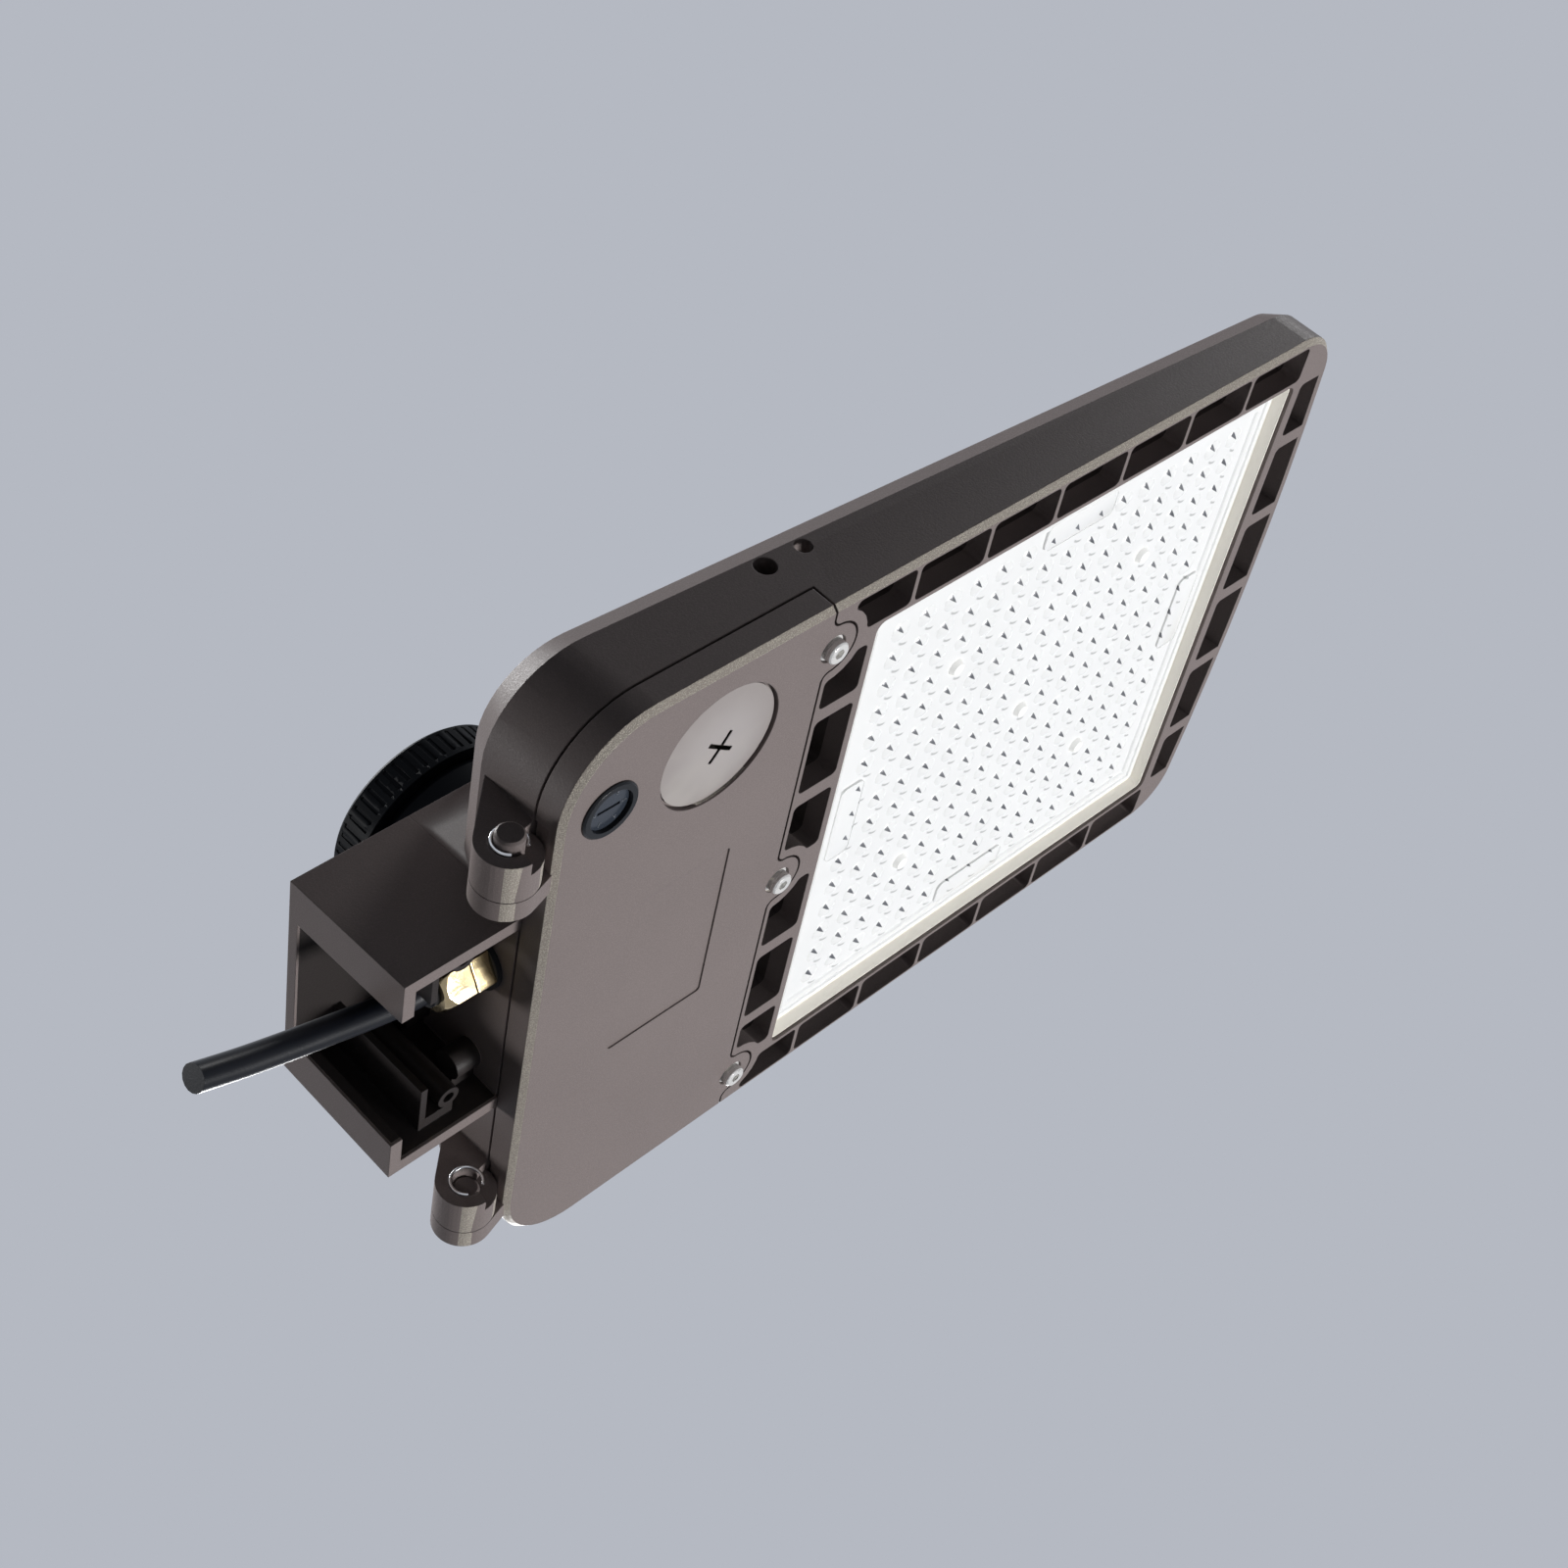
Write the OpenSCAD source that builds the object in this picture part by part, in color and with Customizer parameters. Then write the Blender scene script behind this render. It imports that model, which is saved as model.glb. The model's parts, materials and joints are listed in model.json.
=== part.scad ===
// Shoebox area light: a die-cast LED luminaire on a short pole arm, seen in use
// with the lens facing down. Millimetres, +Z up, +X from the pole to the nose.
// The origin is the middle of the arm's end face, where it meets the pole.

/* [Body] */
// Distance from the pole face to the rear wall of the housing
arm_len = 45; // [42:1:60]
// Length of the housing from its rear wall to the tip of the nose
body_len = 383; // [381:1:400]
// Width of the housing
body_w = 262; // [260:1:290]
// Drop from the middle of the arm to the lens-side rim
rim_drop = 38; // [36:1:44]
// Height of the vertical side band at the nose
nose_band_h = 16.2; // [15:0.5:20]
// Rise of the side band towards the pole
edge_slope = 3.06; // [2.5:0.1:3.6]
// Height of the flat crown above the middle of the arm
crown_h = 34; // [33:1:42]
// Inward run of the bevel above the side band
bevel_in = 4.5; // [3:0.5:5]
// Rise of the bevel above the side band
bevel_up = 8; // [6:0.5:9]
// Corner radius at the pole end
rear_corner_r = 34; // [28:1:40]
// Corner radius at the nose
nose_corner_r = 22; // [18:1:28]
// Radius of the bowed nose, seen from below
nose_bow_r = 1100; // [900:50:1500]
// Chamfer round the lens-side rim
rim_chamfer = 2; // [1:0.5:2.5]
// Thickness of the cast side walls
wall_t = 4; // [3:0.5:5]
// Thickness of the cast roof
roof_t = 4; // [3:0.5:5]

/* [Light window] */
// Length of the recessed window
window_len = 225.6; // [222:0.2:228]
// Border of the body beside the recessed window
window_side = 20; // [19.5:0.1:22]
// Corner radius of the window
window_corner_r = 4; // [2:0.5:6]
// Distance from the front of the window to the tip of the nose
nose_margin = 26.4; // [25:0.2:30]
// Depth from the rim to the face of the lens plate
lens_recess = 6; // [5:0.5:7]
// Thickness of the lens plate
lens_plate_t = 2.5; // [2:0.25:3]
// Gap between the lens plate and the LED board
optic_gap = 2.5; // [2:0.25:4]
// Thickness of the LED board
board_t = 1.6; // [1:0.1:2]
// Distance between neighbouring lenses
lens_pitch = 13; // [12.6:0.1:13.1]
// Least bare border between the window's edge and the lens field
lens_border = 13; // [12:0.5:20]
// Radius of the foot of each lens
lens_r = 5.2; // [4:0.1:5.6]
// Height of each lens
lens_h = 2.4; // [1.5:0.1:3]

/* [Vents and fins] */
// Distance between neighbouring side vents
vent_pitch = 35.4; // [34:0.2:36]
// Rib between side vents
vent_rib = 1.9; // [1.5:0.1:4]
// Wall between the window and the side vents
vent_inner_wall = 1.7; // [1.5:0.1:3]
// Wall between the side vents and the outside
vent_outer_wall = 2.7; // [2.5:0.1:4]
// Length of the vents behind the window, along X
rear_vent_len = 18; // [14:0.5:18]
// Distance between neighbouring nose vents
nose_vent_pitch = 40.3; // [38:0.5:41]
// Width of the nose vents
nose_vent_w = 34; // [28:0.5:36]
// Corner radius of the vents
vent_corner_r = 2.2; // [1:0.2:3]
// Thickness of the cast plate that carries the LED board
spreader_t = 5; // [4:0.5:7]
// Distance between neighbouring cooling fins
fin_pitch = 12; // [10:0.5:16]
// Thickness of a cooling fin
fin_t = 3; // [2:0.25:4]

/* [Access door] */
// Height of the door's skirt
skirt_h = 10.8; // [10:0.2:12]
// Thickness of the door's skirt
skirt_t = 3; // [2.5:0.25:3.5]
// Thickness of the door's plate
door_t = 3.5; // [3:0.25:4]
// Gap round the door
door_gap = 0.9; // [0.6:0.1:1.2]
// Radius of the lobes round the captive screws
lobe_r = 10; // [9:0.25:11]
// Reach of a lobe's centre past the door's front edge
lobe_out = 2.8; // [2:0.2:4]
// Distance from the side of the body to the outer captive screws
screw_side = 19; // [18:0.5:21]
// Height of the compressed door gasket
gasket_t = 1.2; // [1:0.1:1.6]
// Width of the door gasket
gasket_w = 4; // [3:0.25:4.5]

/* [Hinges] */
// Distance from the pole face to the hinge axis
hinge_x = 34; // [33:0.5:34]
// Drop from the middle of the arm to the hinge axis
hinge_drop = 28.6; // [28:0.2:29]
// Outer radius of the hinge ears
ear_r = 10.7; // [9:0.1:10.7]
// Width of the housing's ears
ear_w = 15.6; // [12:0.2:18]
// Width of the door's ears
door_ear_w = 8.2; // [6:0.2:10]
// Distance from the side of the body to the first ear
ear_side = 37; // [33:0.5:41]
// Distance from the other side of the body to the second ear
far_ear_side = 33.9; // [31:0.1:38]
// Radius of the hinge pins
pin_r = 4.8; // [4:0.1:5.5]
// Length of the hinge pins
pin_len = 28; // [25:0.5:32]
// Radial running clearance of the pins in the housing's ears
pin_clear = 0.08; // [0.04:0.02:0.1]

/* [Captive screws] */
// Radius of the screw thread
screw_r = 2.5; // [2:0.1:2.6]
// Radius of the screw head
screw_head_r = 4.3; // [4:0.1:5]
// Height of the screw head
screw_head_h = 4; // [3:0.2:5]
// Depth of the screw's counterbore
counterbore = 1.6; // [1:0.1:2]
// Length of the screw below its head
screw_len = 15.9; // [14:0.5:17]
// Length of the threaded end of the screw
thread_len = 5; // [4:0.5:6]

/* [Port and selector] */
// Distance from the rear wall to the middle of the round port
port_x = 64.5; // [62:0.5:66]
// Distance from the side of the body to the middle of the port
port_side = 35.7; // [35:0.1:39]
// Radius of the port cap
port_r = 23.7; // [20:0.1:24]
// Radius of the port cap's neck
port_neck_r = 20; // [17:0.25:20]
// Distance from the rear wall to the selector
selector_x = 19; // [18:0.5:22]
// Distance from the side of the body to the middle of the selector
selector_side = 34.4; // [34:0.1:37]
// Outer radius of the selector's bezel
selector_r = 10.9; // [10:0.1:11.5]
// Radius of the selector's dial
dial_r = 8.2; // [7:0.1:8.4]
// Length of the bare label recess
label_len = 42.5; // [30:0.5:46]
// Width of the bare label recess
label_w = 75.7; // [60:0.5:80]

/* [Arm] */
// Height of the arm
arm_h = 54.4; // [50:0.2:60]
// Width of the arm at its top
arm_top_w = 94; // [90:1:100]
// Width of the arm at its open side
arm_base_w = 99; // [95:1:104]
// Thickness of the arm's walls
arm_wall = 5; // [4:0.25:6]
// Thickness of the arm's roof
arm_roof = 4.2; // [3.5:0.1:6]
// Width of the inward flanges at the pole face
flange_w = 17; // [12:0.5:18]
// Thickness of the inward flanges
flange_t = 4.6; // [4:0.2:6]
// Distance between the two tapped bosses inside the arm
arm_boss_spacing = 71.2; // [68:0.2:72]
// Radius of the tapped holes in those bosses
arm_tap_r = 2.1; // [1.6:0.1:2.5]

/* [Cable entry] */
// Distance from the middle of the body to the cable gland
gland_y = 14.3; // [13:0.1:15]
// Drop from the middle of the arm to the cable gland
gland_drop = 10.7; // [10:0.1:11.5]
// Radius of the cable
cable_r = 4.7; // [4:0.1:4.8]
// Radius of the gland's thread
gland_thread_r = 8; // [7.4:0.1:8.4]
// Corner radius of the gland's hexagons
gland_hex_r = 11.5; // [11:0.1:12]

/* [Twist-lock receptacle] */
// Distance from the rear wall to the receptacle
socket_x = 33; // [30:1:40]
// Radius of the shorting cap
shorting_r = 35.9; // [33:0.1:42]
// Height of the shorting cap
shorting_h = 13.3; // [12:0.1:30]
// Radius of the receptacle's rim
socket_r = 33; // [30:0.5:34]
// Height of the receptacle above its gasket
socket_h = 10.6; // [9:0.2:14]
// Radius of the receptacle below the roof
socket_body_r = 21; // [20:0.5:22]

/* [Hidden] */
$fn = 64;

bronze = "#5a4f4b";
eps = 0.01;
hair = 0.3;                       // clearance between pieces that only lie close together
running = 0.08;                   // radial clearance of pieces that turn or slide

// Heights
rim_z = -rim_drop;
part_z = rim_z + skirt_h;         // top of the door's skirt
seal_z = rim_z + door_t + gasket_t;
band_nose_z = rim_z + nose_band_h;
lens_face_z = rim_z + lens_recess;
lens_back_z = lens_face_z + lens_plate_t;
board_z = lens_back_z + optic_gap;
seat_z = board_z + board_t;       // underside of the cast plate over the board

// Places along the body
rear_x = arm_len;
nose_x = arm_len + body_len;
window_x1 = nose_x - nose_margin;
window_x0 = window_x1 - window_len;
window_mid = (window_x0 + window_x1) / 2;
rear_vent_x1 = window_x0 - 3;
rear_vent_x0 = rear_vent_x1 - rear_vent_len;
door_front = rear_vent_x0 - 1.8 - door_gap;
screw_x = door_front + lobe_out;
bulkhead_x = door_front - 3.2;
half_w = body_w / 2;
window_w = body_w - 2 * window_side;
lens_rows = 2 * floor((min(window_len, window_w) / 2 - lens_border) / lens_pitch - 0.5) + 1;
nose_vent_x = window_x1 + 4.8;
vent_y0 = window_w / 2 + vent_inner_wall;
vent_y1 = half_w - vent_outer_wall;
crown_x0 = rear_x + 34;
crown_x1 = rear_x + 73;
crown_side = 84;                  // slope between the side and the flat crown
arm_root = 26;                    // how far the arm's block runs onto the roof
crown_half_w = half_w - crown_side;
screw_ys = [screw_side - half_w, 0, half_w - screw_side];

function band_z(x) = band_nose_z + tan(edge_slope) * (nose_x - x);

// ---- outlines ----

function arc(cx, cy, r, a0, a1, n) =
    [for (k = [0:n]) let (a = a0 + (a1 - a0) * k / n) [cx + r * cos(a), cy + r * sin(a)]];

bow_angle = asin((half_w - nose_corner_r) / (nose_bow_r - nose_corner_r));
nose_corner_x = nose_x - nose_bow_r + (nose_bow_r - nose_corner_r) * cos(bow_angle);

// The body seen from below, moved inwards by a distance
module outline(in = 0) {
    ry = half_w - rear_corner_r;
    rx = rear_x + rear_corner_r;
    ny = half_w - nose_corner_r;
    polygon(concat(
        arc(rx, ry, rear_corner_r - in, 90, 180, 12),
        arc(rx, -ry, rear_corner_r - in, 180, 270, 12),
        arc(nose_corner_x, -ny, nose_corner_r - in, 270, 360 - bow_angle, 10),
        arc(nose_x - nose_bow_r, 0, nose_bow_r - in, -bow_angle, bow_angle, 8),
        arc(nose_corner_x, ny, nose_corner_r - in, bow_angle, 90, 10)));
}

module rounded_rect(x0, x1, y0, y1, r) {
    offset(r = r, $fn = 24)
        translate([x0 + r, y0 + r])
            square([x1 - x0 - 2 * r, y1 - y0 - 2 * r]);
}

// The door seen from below, grown by a gap
module door_plan(grow = 0) {
    fillet = 4;
    offset(r = -fillet + grow, $fn = 32) offset(delta = fillet) {
        intersection() {
            outline();
            translate([0, -body_w]) square([door_front, 2 * body_w]);
        }
        for (y = screw_ys) translate([screw_x, y]) circle(r = lobe_r);
    }
}

module prism(z0, z1) {
    translate([0, 0, z0]) linear_extrude(z1 - z0) children();
}

module plate_at(z, in) {
    prism(z, z + eps) outline(in);
}

module band_plate(in, up) {
    translate([nose_x, 0, band_nose_z + up])
        rotate([0, edge_slope, 0])
            translate([-nose_x, 0, 0])
                linear_extrude(eps) outline(in);
}

// Outer form without openings: chamfered rim, side band, bevel and crown
module outer_form() {
    hull() {
        plate_at(rim_z, rim_chamfer);
        plate_at(rim_z + rim_chamfer + 1, -1);
        band_plate(-1, -bevel_up / bevel_in);
        band_plate(bevel_in, bevel_up);
        translate([crown_x0, -crown_half_w, crown_h - 1])
            cube([crown_x1 - crown_x0, 2 * crown_half_w, 1]);
    }
}

module body_form() {
    intersection() {
        outer_form();
        prism(rim_z - 1, crown_h + 1) outline();
    }
}

socket_at = rear_x + socket_x;
socket_pad_h = 14;
socket_nut_r = socket_body_r + 7;

// ---- housing ----

// Space that the door fills: its skirt's ring and its plate
module door_space() {
    prism(rim_z - 1, part_z + door_gap) difference() {
        intersection() {
            outline(-2);
            translate([0, -body_w]) square([door_front + door_gap, 2 * body_w]);
        }
        outline(skirt_t + door_gap);
    }
    prism(rim_z - 1, seal_z) door_plan(door_gap);
}

lip_t = 4.8;                      // sealing lip inside the door's skirt
lip_in = skirt_t + door_gap + lip_t;

module compartment() {
    difference() {
        intersection() {
            translate([0, 0, -roof_t]) outer_form();
            union() {
                prism(rim_z - 1, crown_h) intersection() {
                    outline(lip_in);
                    translate([0, -body_w]) square([bulkhead_x, 2 * body_w]);
                }
                prism(part_z + door_gap + 3, crown_h) intersection() {
                    outline(wall_t);
                    translate([0, -body_w]) square([bulkhead_x, 2 * body_w]);
                }
            }
        }
        compartment_bosses();
    }
}

// Driver, surge protector and terminal block, seen from below
driver_x = rear_x + 35;
driver_w = 58;
driver_y = -58;
driver_side = 27;                 // room between the driver's end and the side
driver_len = half_w - driver_side - driver_y;
driver_top = 2;
driver_h = 28;
tab_len = 10;
driver_screw_x = driver_x + driver_w / 2;
driver_screw_ys = [driver_y - tab_len / 2, driver_y + driver_len + tab_len / 2];
surge_pos = [rear_x + 8, 40, -18];
surge_size = [26, 46, 22];
block_pos = [rear_x + 12, -72, -20];
block_size = [22, 36, 16];
side_hole_z = -11.3;
small_tap_r = 1.6;
component_screw_r = 1.5;

module compartment_bosses() {
    for (i = [0, 1]) mirror([0, i, 0])
        translate([bulkhead_x - 10, -half_w, side_hole_z - 7]) cube([11, 13, 14]);
    for (y = driver_screw_ys) translate([driver_screw_x, y, driver_top]) cylinder(r = 4.5, h = crown_h);
    translate([surge_pos.x + 5, surge_pos.y + 5, surge_pos.z + surge_size.z]) cube([16, 36, crown_h]);
    translate([block_pos.x + 3, block_pos.y + 4, block_pos.z + block_size.z]) cube([16, 28, crown_h]);
}

module component_taps() {
    for (y = driver_screw_ys) translate([driver_screw_x, y, driver_top - 1]) cylinder(r = small_tap_r, h = 6);
    for (p = [surge_pos + surge_size / 2, block_pos + block_size / 2])
        translate([p.x, p.y, p.z]) cylinder(r = small_tap_r, h = 20);
}

module window_cut() {
    prism(rim_z - 1, seat_z)
        rounded_rect(window_x0, window_x1, -window_w / 2, window_w / 2, window_corner_r);
}

// One vent: a rounded slot that keeps clear of the door's lobes
module vent(x0, x1, y0, y1, z0, z1) {
    prism(z0, z1) offset(r = vent_corner_r, $fn = 24) offset(delta = -vent_corner_r) difference() {
        translate([x0, y0]) square([x1 - x0, y1 - y0]);
        for (y = screw_ys) translate([screw_x, y]) circle(r = lobe_r + 5);
    }
}

side_vents = 7;
throat_in = 4.8;                  // the vent narrows above the band

module side_vent(i, side) {
    x1 = window_x1 + 0.9 - i * vent_pitch;
    x0 = max(x1 - vent_pitch + vent_rib, screw_x + 5.5);
    low = band_z(x1) - 4;
    mirror([0, side, 0]) {
        vent(x0, x1, vent_y0, vent_y1, rim_z - 1, low);
        vent(x0, x1, vent_y0, vent_y1 - throat_in, low - 1, crown_h);
    }
}

// Start and end across the body of the vents behind the window, on each side of the middle
rear_vent_ys = [[8, 37], [43.5, half_w - 53], [half_w - 47, half_w - 26.5]];

module rear_vents(side) {
    mirror([0, side, 0]) for (y = rear_vent_ys)
        vent(rear_vent_x0, rear_vent_x1, y[0], y[1], rim_z - 1, crown_h);
}

nose_vent_wall = 5;
nose_end_w = 25.2;                // the outermost nose vents are narrower

module nose_vents(side) {
    mirror([0, side, 0]) intersection() {
        union() for (i = [0:2]) {
            y0 = (nose_vent_pitch - nose_vent_w) / 2 + i * nose_vent_pitch;
            w = i == 2 ? nose_end_w : nose_vent_w;
            vent(nose_vent_x, nose_x, y0, y0 + w, rim_z - 1, crown_h);
        }
        prism(rim_z - 2, crown_h + 1) outline(nose_vent_wall);
    }
}

fin_half_w = window_w / 2 - 3;
groove_w = fin_pitch - fin_t;
grooves = floor(fin_half_w / fin_pitch - 0.5);

module fin_grooves() {
    for (i = [-grooves:grooves]) {
        translate([window_x0 + 4, i * fin_pitch - groove_w / 2, seat_z + spreader_t])
            cube([window_len - 8, groove_w, 2 * crown_h]);
    }
}

// Tangent point on the hinge circle seen from p; side is 1 or -1
function hinge_tangent(p, side) =
    let (dx = p.x - hinge_x, dz = p.y + hinge_drop, d = norm([dx, dz]))
    let (a = atan2(dz, dx) + side * acos(ear_r / d))
    [hinge_x + ear_r * cos(a), -hinge_drop + ear_r * sin(a)];

// A slab in the XZ plane from y to y + w
module xz_slab(y, w) {
    translate([0, y + w, 0]) rotate([90, 0, 0]) linear_extrude(w) children();
}

module hinge_disc(y, w, r) {
    translate([hinge_x, y, -hinge_drop]) rotate([-90, 0, 0]) cylinder(r = r, h = w);
}

ear_ys = [ear_side - half_w, half_w - far_ear_side - ear_w];
ear_root = 2;                     // how far an ear runs into its wall
ear_step = 5;                     // depth of the stepped slot in an ear's outer face

module housing_ear(y) {
    top = [rear_x + ear_root, band_z(rear_x) - 1];
    hinge_disc(y, ear_w, ear_r);
    xz_slab(y, ear_w)
        polygon([[hinge_x, -hinge_drop], hinge_tangent(top, 1), top,
                 [rear_x + ear_root, part_z + door_gap], [hinge_x + 4, part_z + door_gap]]);
}

// Bore, countersink and stepped slot of a housing ear
module housing_ear_cuts(y) {
    hinge_disc(y - 1, ear_w + 2, pin_r + pin_clear);
    translate([hinge_x, y - eps, -hinge_drop]) rotate([-90, 0, 0])
        cylinder(r1 = pin_r + 1.7, r2 = pin_r, h = 1.7);
    xz_slab(y - 1, ear_step + 1)
        polygon([[hinge_x + 1, -hinge_drop - 3], [hinge_x - 2, -hinge_drop - 20],
                 [hinge_x + 20, -hinge_drop - 20], [hinge_x + 20, -hinge_drop + 4],
                 [hinge_x + 6, -hinge_drop + 1]]);
}

screw_boss_r = 7;
tap_clear = 0.4;                  // lets the screw's end swing out with the door

module housing() {
    color(bronze) difference() {
        union() {
            difference() {
                union() {
                    body_form();
                    yz_slab(rear_x, rear_x + arm_root) arm_section();
                    translate([socket_at, 0, crown_h - socket_pad_h])
                        cylinder(r1 = socket_r - 2, r2 = socket_r + 0.8, h = socket_pad_h);
                }
                door_space();
                compartment();
            }
            for (y = ear_ys) housing_ear(y);
        }
        for (y = ear_ys) housing_ear_cuts(y);
        window_cut();
        for (side = [0, 1]) {
            for (i = [0:side_vents - 1]) side_vent(i, side);
            rear_vents(side);
            nose_vents(side);
        }
        fin_grooves();
        component_taps();
        for (y = screw_ys) translate([screw_x, y, seal_z - 1])
            cylinder(r = screw_r + tap_clear, h = screw_len);
        for (i = [0, 1]) mirror([0, i, 0]) {
            translate([screw_x - 8.2, -half_w - 1, side_hole_z]) rotate([-90, 0, 0]) cylinder(r = 4, h = 9);
            translate([screw_x + 8.5, -half_w - 1, side_hole_z]) rotate([-90, 0, 0]) cylinder(r = 3.2, h = 9);
        }
        for (p = arm_bolt_places) translate([rear_x, p.x, p.y]) rotate([0, 90, 0]) {
            translate([0, 0, -1]) cylinder(r = arm_bolt_r + 0.3, h = wall_t + 6);
            translate([0, 0, wall_t]) cylinder(r = 7, h = 12);
        }
        translate([rear_x - 1, -gland_y, -gland_drop]) rotate([0, 90, 0])
            cylinder(r = gland_thread_r + 0.1, h = wall_t + 6);
        translate([socket_at, 0, 0]) cylinder(r = socket_body_r + 0.5, h = crown_h + 10);
        translate([socket_at, 0, crown_h - roof_t - 14]) cylinder(r = socket_nut_r + 0.6, h = 14);
        translate([bulkhead_x - 1, lead_y, lead_z]) rotate([0, 90, 0]) cylinder(r = lead_bore_r, h = 40);
        translate([bulkhead_x - 1, lead_y, lead_z]) rotate([0, 90, 0]) cylinder(r = 3.5, h = 3);
        for (p = lens_screw_places) translate([p.x, p.y, seat_z - 1]) cylinder(r = 1.5, h = spreader_t);
    }
}

// ---- arm ----

arm_z0 = -arm_h / 2;
arm_z1 = arm_h / 2;
arm_bolt_r = 2.9;
arm_bolt_places = [[-34, 14], [34, 14], [-34, -12], [34, -12]];
arm_bolt_grip = 8;
arm_bolt_head_r = 5.7;
arm_bolt_head_h = 4;
bolt_boss_r = 5.6;
bolt_boss_l = 10;
arm_boss_r = 4.2;
arm_boss_x = 28;
arm_boss_z = -21.7;
arm_rib_x = 16;
arm_rib_t = 2.6;

module arm_section() {
    polygon([[-arm_base_w / 2, arm_z0], [arm_base_w / 2, arm_z0],
             [arm_top_w / 2, arm_z1], [-arm_top_w / 2, arm_z1]]);
}

// Extrudes a section drawn in the YZ plane from x0 to x1
module yz_slab(x0, x1) {
    translate([x0, 0, 0]) rotate([90, 0, 90]) linear_extrude(x1 - x0) children();
}

module arm_tunnel(x0, x1, wall) {
    yz_slab(x0, x1)
        polygon([[-arm_base_w / 2 + wall, arm_z0 - 5], [arm_base_w / 2 - wall, arm_z0 - 5],
                 [arm_top_w / 2 - wall, arm_z1 - arm_roof], [-arm_top_w / 2 + wall, arm_z1 - arm_roof]]);
}

// Tapped boss on one side, with the rib and the web that tie it to the wall
module arm_ribs(half) {
    rib_in = 12.8;
    translate([arm_boss_x, half, arm_boss_z]) cylinder(r = arm_boss_r, h = arm_h);
    translate([arm_rib_x, half - rib_in, arm_boss_z])
        cube([arm_rib_t, arm_base_w / 2 - half + rib_in, arm_h]);
    translate([arm_rib_x, half + 4, arm_boss_z])
        cube([arm_boss_x + 2 - arm_rib_x, arm_base_w / 2 - half - 4, arm_h]);
}

module mounting_arm() {
    half = arm_boss_spacing / 2;
    color(bronze) difference() {
        union() {
            difference() {
                yz_slab(0, arm_len) arm_section();
                arm_tunnel(-1, flange_t, flange_w);
                arm_tunnel(flange_t, arm_len + 1, arm_wall);
            }
            intersection() {
                yz_slab(0, arm_len) arm_section();
                union() {
                    for (side = [0, 1]) mirror([0, side, 0]) arm_ribs(half);
                    for (p = arm_bolt_places) {
                        translate([arm_len - bolt_boss_l, p.x, p.y]) rotate([0, 90, 0])
                            cylinder(r = bolt_boss_r, h = bolt_boss_l);
                        translate([arm_len - bolt_boss_l, p.x > 0 ? p.x : -arm_base_w / 2, p.y - 3])
                            cube([bolt_boss_l, arm_base_w / 2 - abs(p.x), 6]);
                    }
                }
            }
        }
        for (s = [-1, 1]) translate([arm_boss_x, s * half, arm_boss_z - 1]) cylinder(r = arm_tap_r, h = 16);
        for (p = arm_bolt_places) translate([arm_len - 9, p.x, p.y]) rotate([0, 90, 0])
            cylinder(r = arm_bolt_r + 0.05, h = 10);
    }
}

module arm_bolts() {
    color("silver") for (p = arm_bolt_places) translate([0, p.x, p.y]) rotate([0, 90, 0]) {
        translate([0, 0, arm_len - arm_bolt_grip]) cylinder(r = arm_bolt_r, h = arm_bolt_grip + wall_t);
        translate([0, 0, arm_len + wall_t]) cylinder(r = arm_bolt_head_r, h = arm_bolt_head_h, $fn = 6);
    }
}

// ---- door and what it carries ----

label_x = rear_x + 59;
port_at = [rear_x + port_x, port_side - half_w];
selector_at = [rear_x + selector_x, selector_side - half_w];
port_recess = 2.4;

// Stiffening ribs on the inside of the door
door_rib_t = 2;
door_rib_h = 3;
door_rib_xs = [rear_x + 40, rear_x + 66];
door_rib_ys = [-20, 30, half_w - 51];
door_rib_len = [70, half_w + 29];

module door_ear(y) {
    foot = [rear_x + ear_root, rim_z + rim_chamfer];
    hinge_disc(y, door_ear_w, ear_r);
    xz_slab(y, door_ear_w)
        polygon([[hinge_x, -hinge_drop], hinge_tangent(foot, -1), foot,
                 [rear_x + ear_root, part_z], [hinge_x + 4, part_z]]);
}

door_ear_ys = [for (y = ear_ys) y + ear_w + hair];

module access_door() {
    inside = rim_z + door_t;
    color(bronze) difference() {
        union() {
            difference() {
                intersection() {
                    body_form();
                    prism(rim_z - 1, part_z) door_plan();
                }
                prism(inside, part_z + 1) intersection() {
                    outline(skirt_t);
                    translate([0, -body_w]) square([door_front + 30, 2 * body_w]);
                }
            }
            for (y = door_ear_ys) door_ear(y);
            translate([selector_at.x, selector_at.y, inside - eps]) cylinder(r = selector_r, h = pad_t + eps);
            for (x = door_rib_xs) translate([x, half_w - 29 - door_rib_len.y, inside - eps])
                cube([door_rib_t, door_rib_len.y, door_rib_h]);
            for (y = door_rib_ys) translate([rear_x + 22, y, inside - eps])
                cube([door_rib_len.x, door_rib_t, door_rib_h]);
        }
        for (y = ear_ys) hinge_disc(y - 0.6, ear_w + 0.6 + hair, ear_r + 1.2);
        for (y = door_ear_ys) hinge_disc(y - 1, door_ear_w + 2, pin_r);
        for (y = screw_ys) translate([screw_x, y, rim_z - 1]) {
            cylinder(r = screw_head_r + 1.2, h = counterbore + 1);
            cylinder(r = neck_r + running, h = door_t + 8);
        }
        translate([port_at.x, port_at.y, rim_z - 1]) {
            cylinder(r = port_r + 0.9, h = port_recess + 1);
            cylinder(r = port_neck_r + running, h = 20);
        }
        translate([selector_at.x, selector_at.y, rim_z - 1]) {
            cylinder(r = bezel_body_r + 0.2, h = bezel_depth + 1.1);
            cylinder(r = bezel_neck_r + 0.3, h = 20);
        }
        prism(rim_z - 1, rim_z + 0.6)
            rounded_rect(label_x - label_len / 2, label_x + label_len / 2, -label_w / 2, label_w / 2, 1.5);
    }
}

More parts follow.
